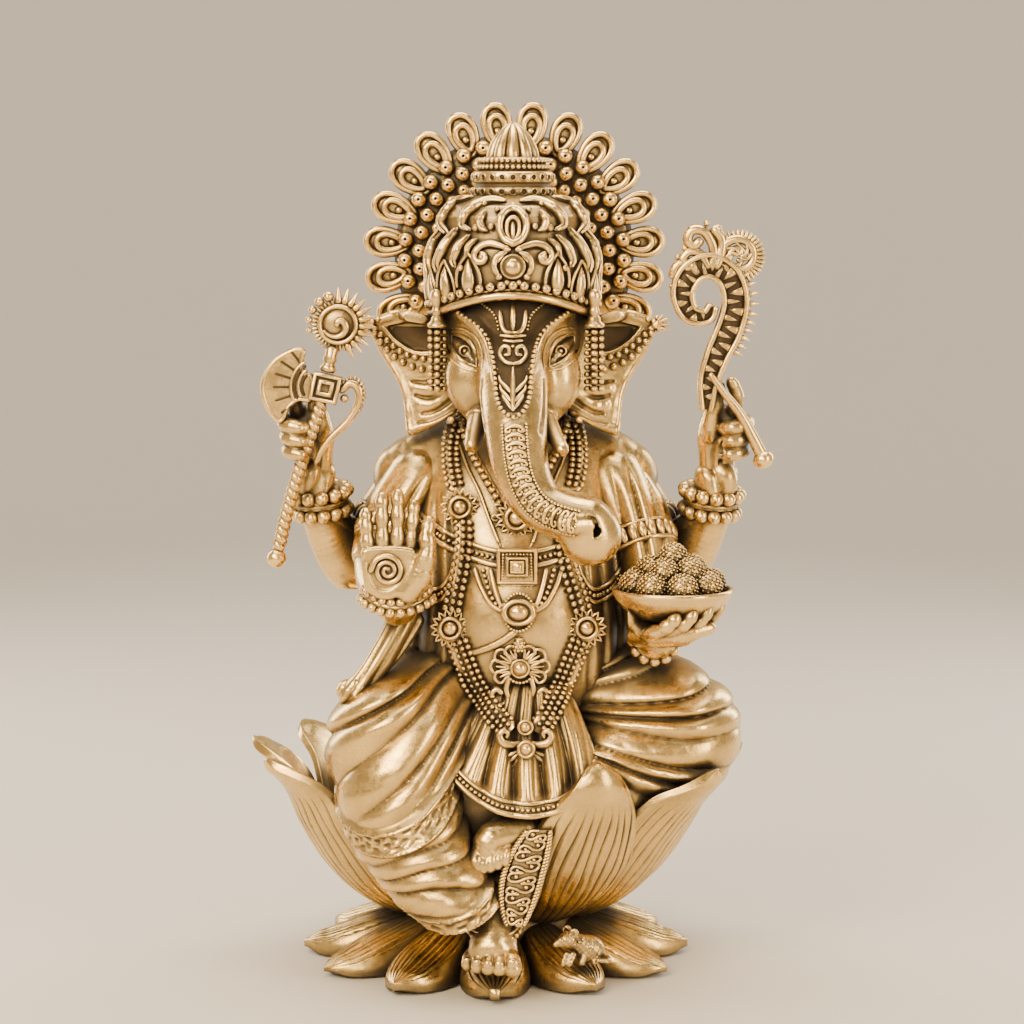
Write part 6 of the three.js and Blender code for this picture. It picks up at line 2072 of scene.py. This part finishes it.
lotus_core()
for number in range(BASE_PETALS):
    base_petal(number)
for number in range(UPPER_PETALS):
    upper_petal(number)
torso_piece = torso()
right_leg_piece = right_leg()
left_leg_piece = left_leg()
head_wall = Wall(head())
eyes(head_wall)
forehead(head_wall)
trunk_chain(head_wall)
tusks()
for own_side in (RIGHT, LEFT):
    ear(own_side)
    tassel(own_side)
crown_dome()
crown_tiers()
halo()
right_foot()
left_foot()
apron_piece = apron()
sash_end()
arm("rear_right_arm", RIGHT, REAR_ARM, 1.0)
arm("rear_left_arm", LEFT, REAR_ARM, 1.0)
arm("front_right_arm", RIGHT, FRONT_ARM, 1.6)
arm("front_left_arm", LEFT, BOWL_ARM, 1.6)
for own_side, word in SIDE_WORD.items():
    bracelet(f"rear_{word}_bracelet", (own_side * 0.10, -0.15, 0.95), 9.0)
    armlet(f"rear_{word}_armlet", own_side, REAR_ARM)
    raised_hand(f"rear_{word}_hand", own_side)
palm_bracelet()
bracelet("front_left_bracelet", (0, -1, 0.1), 7.2, 13, 2.0)
armlet("front_right_armlet", RIGHT, FRONT_ARM)
armlet("front_left_armlet", LEFT, BOWL_ARM)
open_hand()
bowl_hand()
bowl()
sweets()
mouse()
axe()
goad()
body_wall = Wall(torso_piece, right_leg_piece, left_leg_piece, apron_piece)
waist(body_wall)
shawl_ends(body_wall)
garland(body_wall)
necklaces(body_wall)
chest_band(body_wall)
oval_pendant(body_wall)
side_swags(body_wall)


# ---- Stage ----

NEUTRAL = (1, 0.96, 0.90)  # the light that isn't warmed


def stage():
    """A pale round floor that curves up into a wall on every side (metres)."""
    flat, bend, wall_top, sides = 1.2, 0.9, 3.6, 96
    curved = [(flat + bend * math.sin(t), bend - bend * math.cos(t))
              for t in np.linspace(0, math.pi / 2, 24)]
    profile = [(0.02, 0.0), *curved, (flat + bend, wall_top)]
    points = [(r * math.cos(t), r * math.sin(t), z) for r, z in profile
              for t in np.arange(sides) * TAU / sides]
    faces = [(row * sides + k, row * sides + (k + 1) % sides, (row + 1) * sides + (k + 1) % sides,
              (row + 1) * sides + k) for row in range(len(profile) - 1) for k in range(sides)]
    mesh = bpy.data.meshes.new("floor")
    mesh.from_pydata(points, [], faces + [tuple(range(sides))])
    mesh.shade_smooth()
    floor = bpy.data.objects.new("floor", mesh)
    bpy.context.scene.collection.objects.link(floor)
    material = bpy.data.materials.new("pale_floor")
    material.use_nodes = True
    shader = material.node_tree.nodes["Principled BSDF"]
    shader.inputs["Base Color"].default_value = (0.62, 0.57, 0.51, 1)
    shader.inputs["Roughness"].default_value = 0.65
    mesh.materials.append(material)

    world = bpy.data.worlds.new("studio")
    world.use_nodes = True
    world.node_tree.nodes["Background"].inputs["Color"].default_value = (0.93, 0.90, 0.86, 1)
    world.node_tree.nodes["Background"].inputs["Strength"].default_value = 0.05
    bpy.context.scene.world = world


def softbox(name, at, aim, size, power, tint):
    """A rectangular light aimed at a point."""
    light = bpy.data.lights.new(name, "AREA")
    light.shape = "RECTANGLE"
    light.size, light.size_y = size
    light.energy = power
    light.color = tint
    lamp = bpy.data.objects.new(name, light)
    lamp.location = at
    lamp.rotation_euler = (Vector(aim) - Vector(at)).to_track_quat("-Z", "Y").to_euler()
    bpy.context.scene.collection.objects.link(lamp)


def camera():
    """The view of the photograph: level with the chest, from about a metre in front."""
    lens = bpy.data.cameras.new("camera")
    lens.lens = 104.4
    lens.sensor_width = 36
    lens.clip_start = 0.05
    eye = bpy.data.objects.new("camera", lens)
    eye.location = (0.0057, -1.03, 0.2744)
    eye.rotation_euler = (math.radians(83.5), 0, 0)
    bpy.context.scene.collection.objects.link(eye)
    bpy.context.scene.camera = eye


stage()
camera()
centre = (BODY_X * MM, 0, 0.15)
for name, at, size, power, tint in (("key", (-0.55, -0.80, 0.75), (0.55, 0.55), 17, (1, 0.81, 0.50)),
                                    ("front", (-0.18, -1.5, 0.62), (0.55, 0.45), 7, (1, 0.82, 0.54)),
                                    ("fill", (0.75, -0.60, 0.35), (0.25, 0.6), 6, (1, 0.82, 0.52)),
                                    ("top", (0.0, 0.05, 1.0), (0.6, 0.4), 9, (1, 0.85, 0.60)),
                                    ("rim_left", (-0.6, 0.5, 0.4), (0.2, 0.7), 4, NEUTRAL),
                                    ("rim_right", (0.6, 0.5, 0.4), (0.2, 0.7), 4, NEUTRAL)):
    softbox(name, at, centre, size, power, tint)
for number in range(4):
    turn = TAU * (number + 1) / 4
    way = Vector((math.cos(turn), math.sin(turn), 0))
    softbox(f"wall_wash_{number + 1}", way * 0.8 + Vector((0, 0, 2.1)), way * 2.1 + Vector((0, 0, 0.5)),
            (2.0, 0.5), 19 if number == 0 else 9, NEUTRAL)
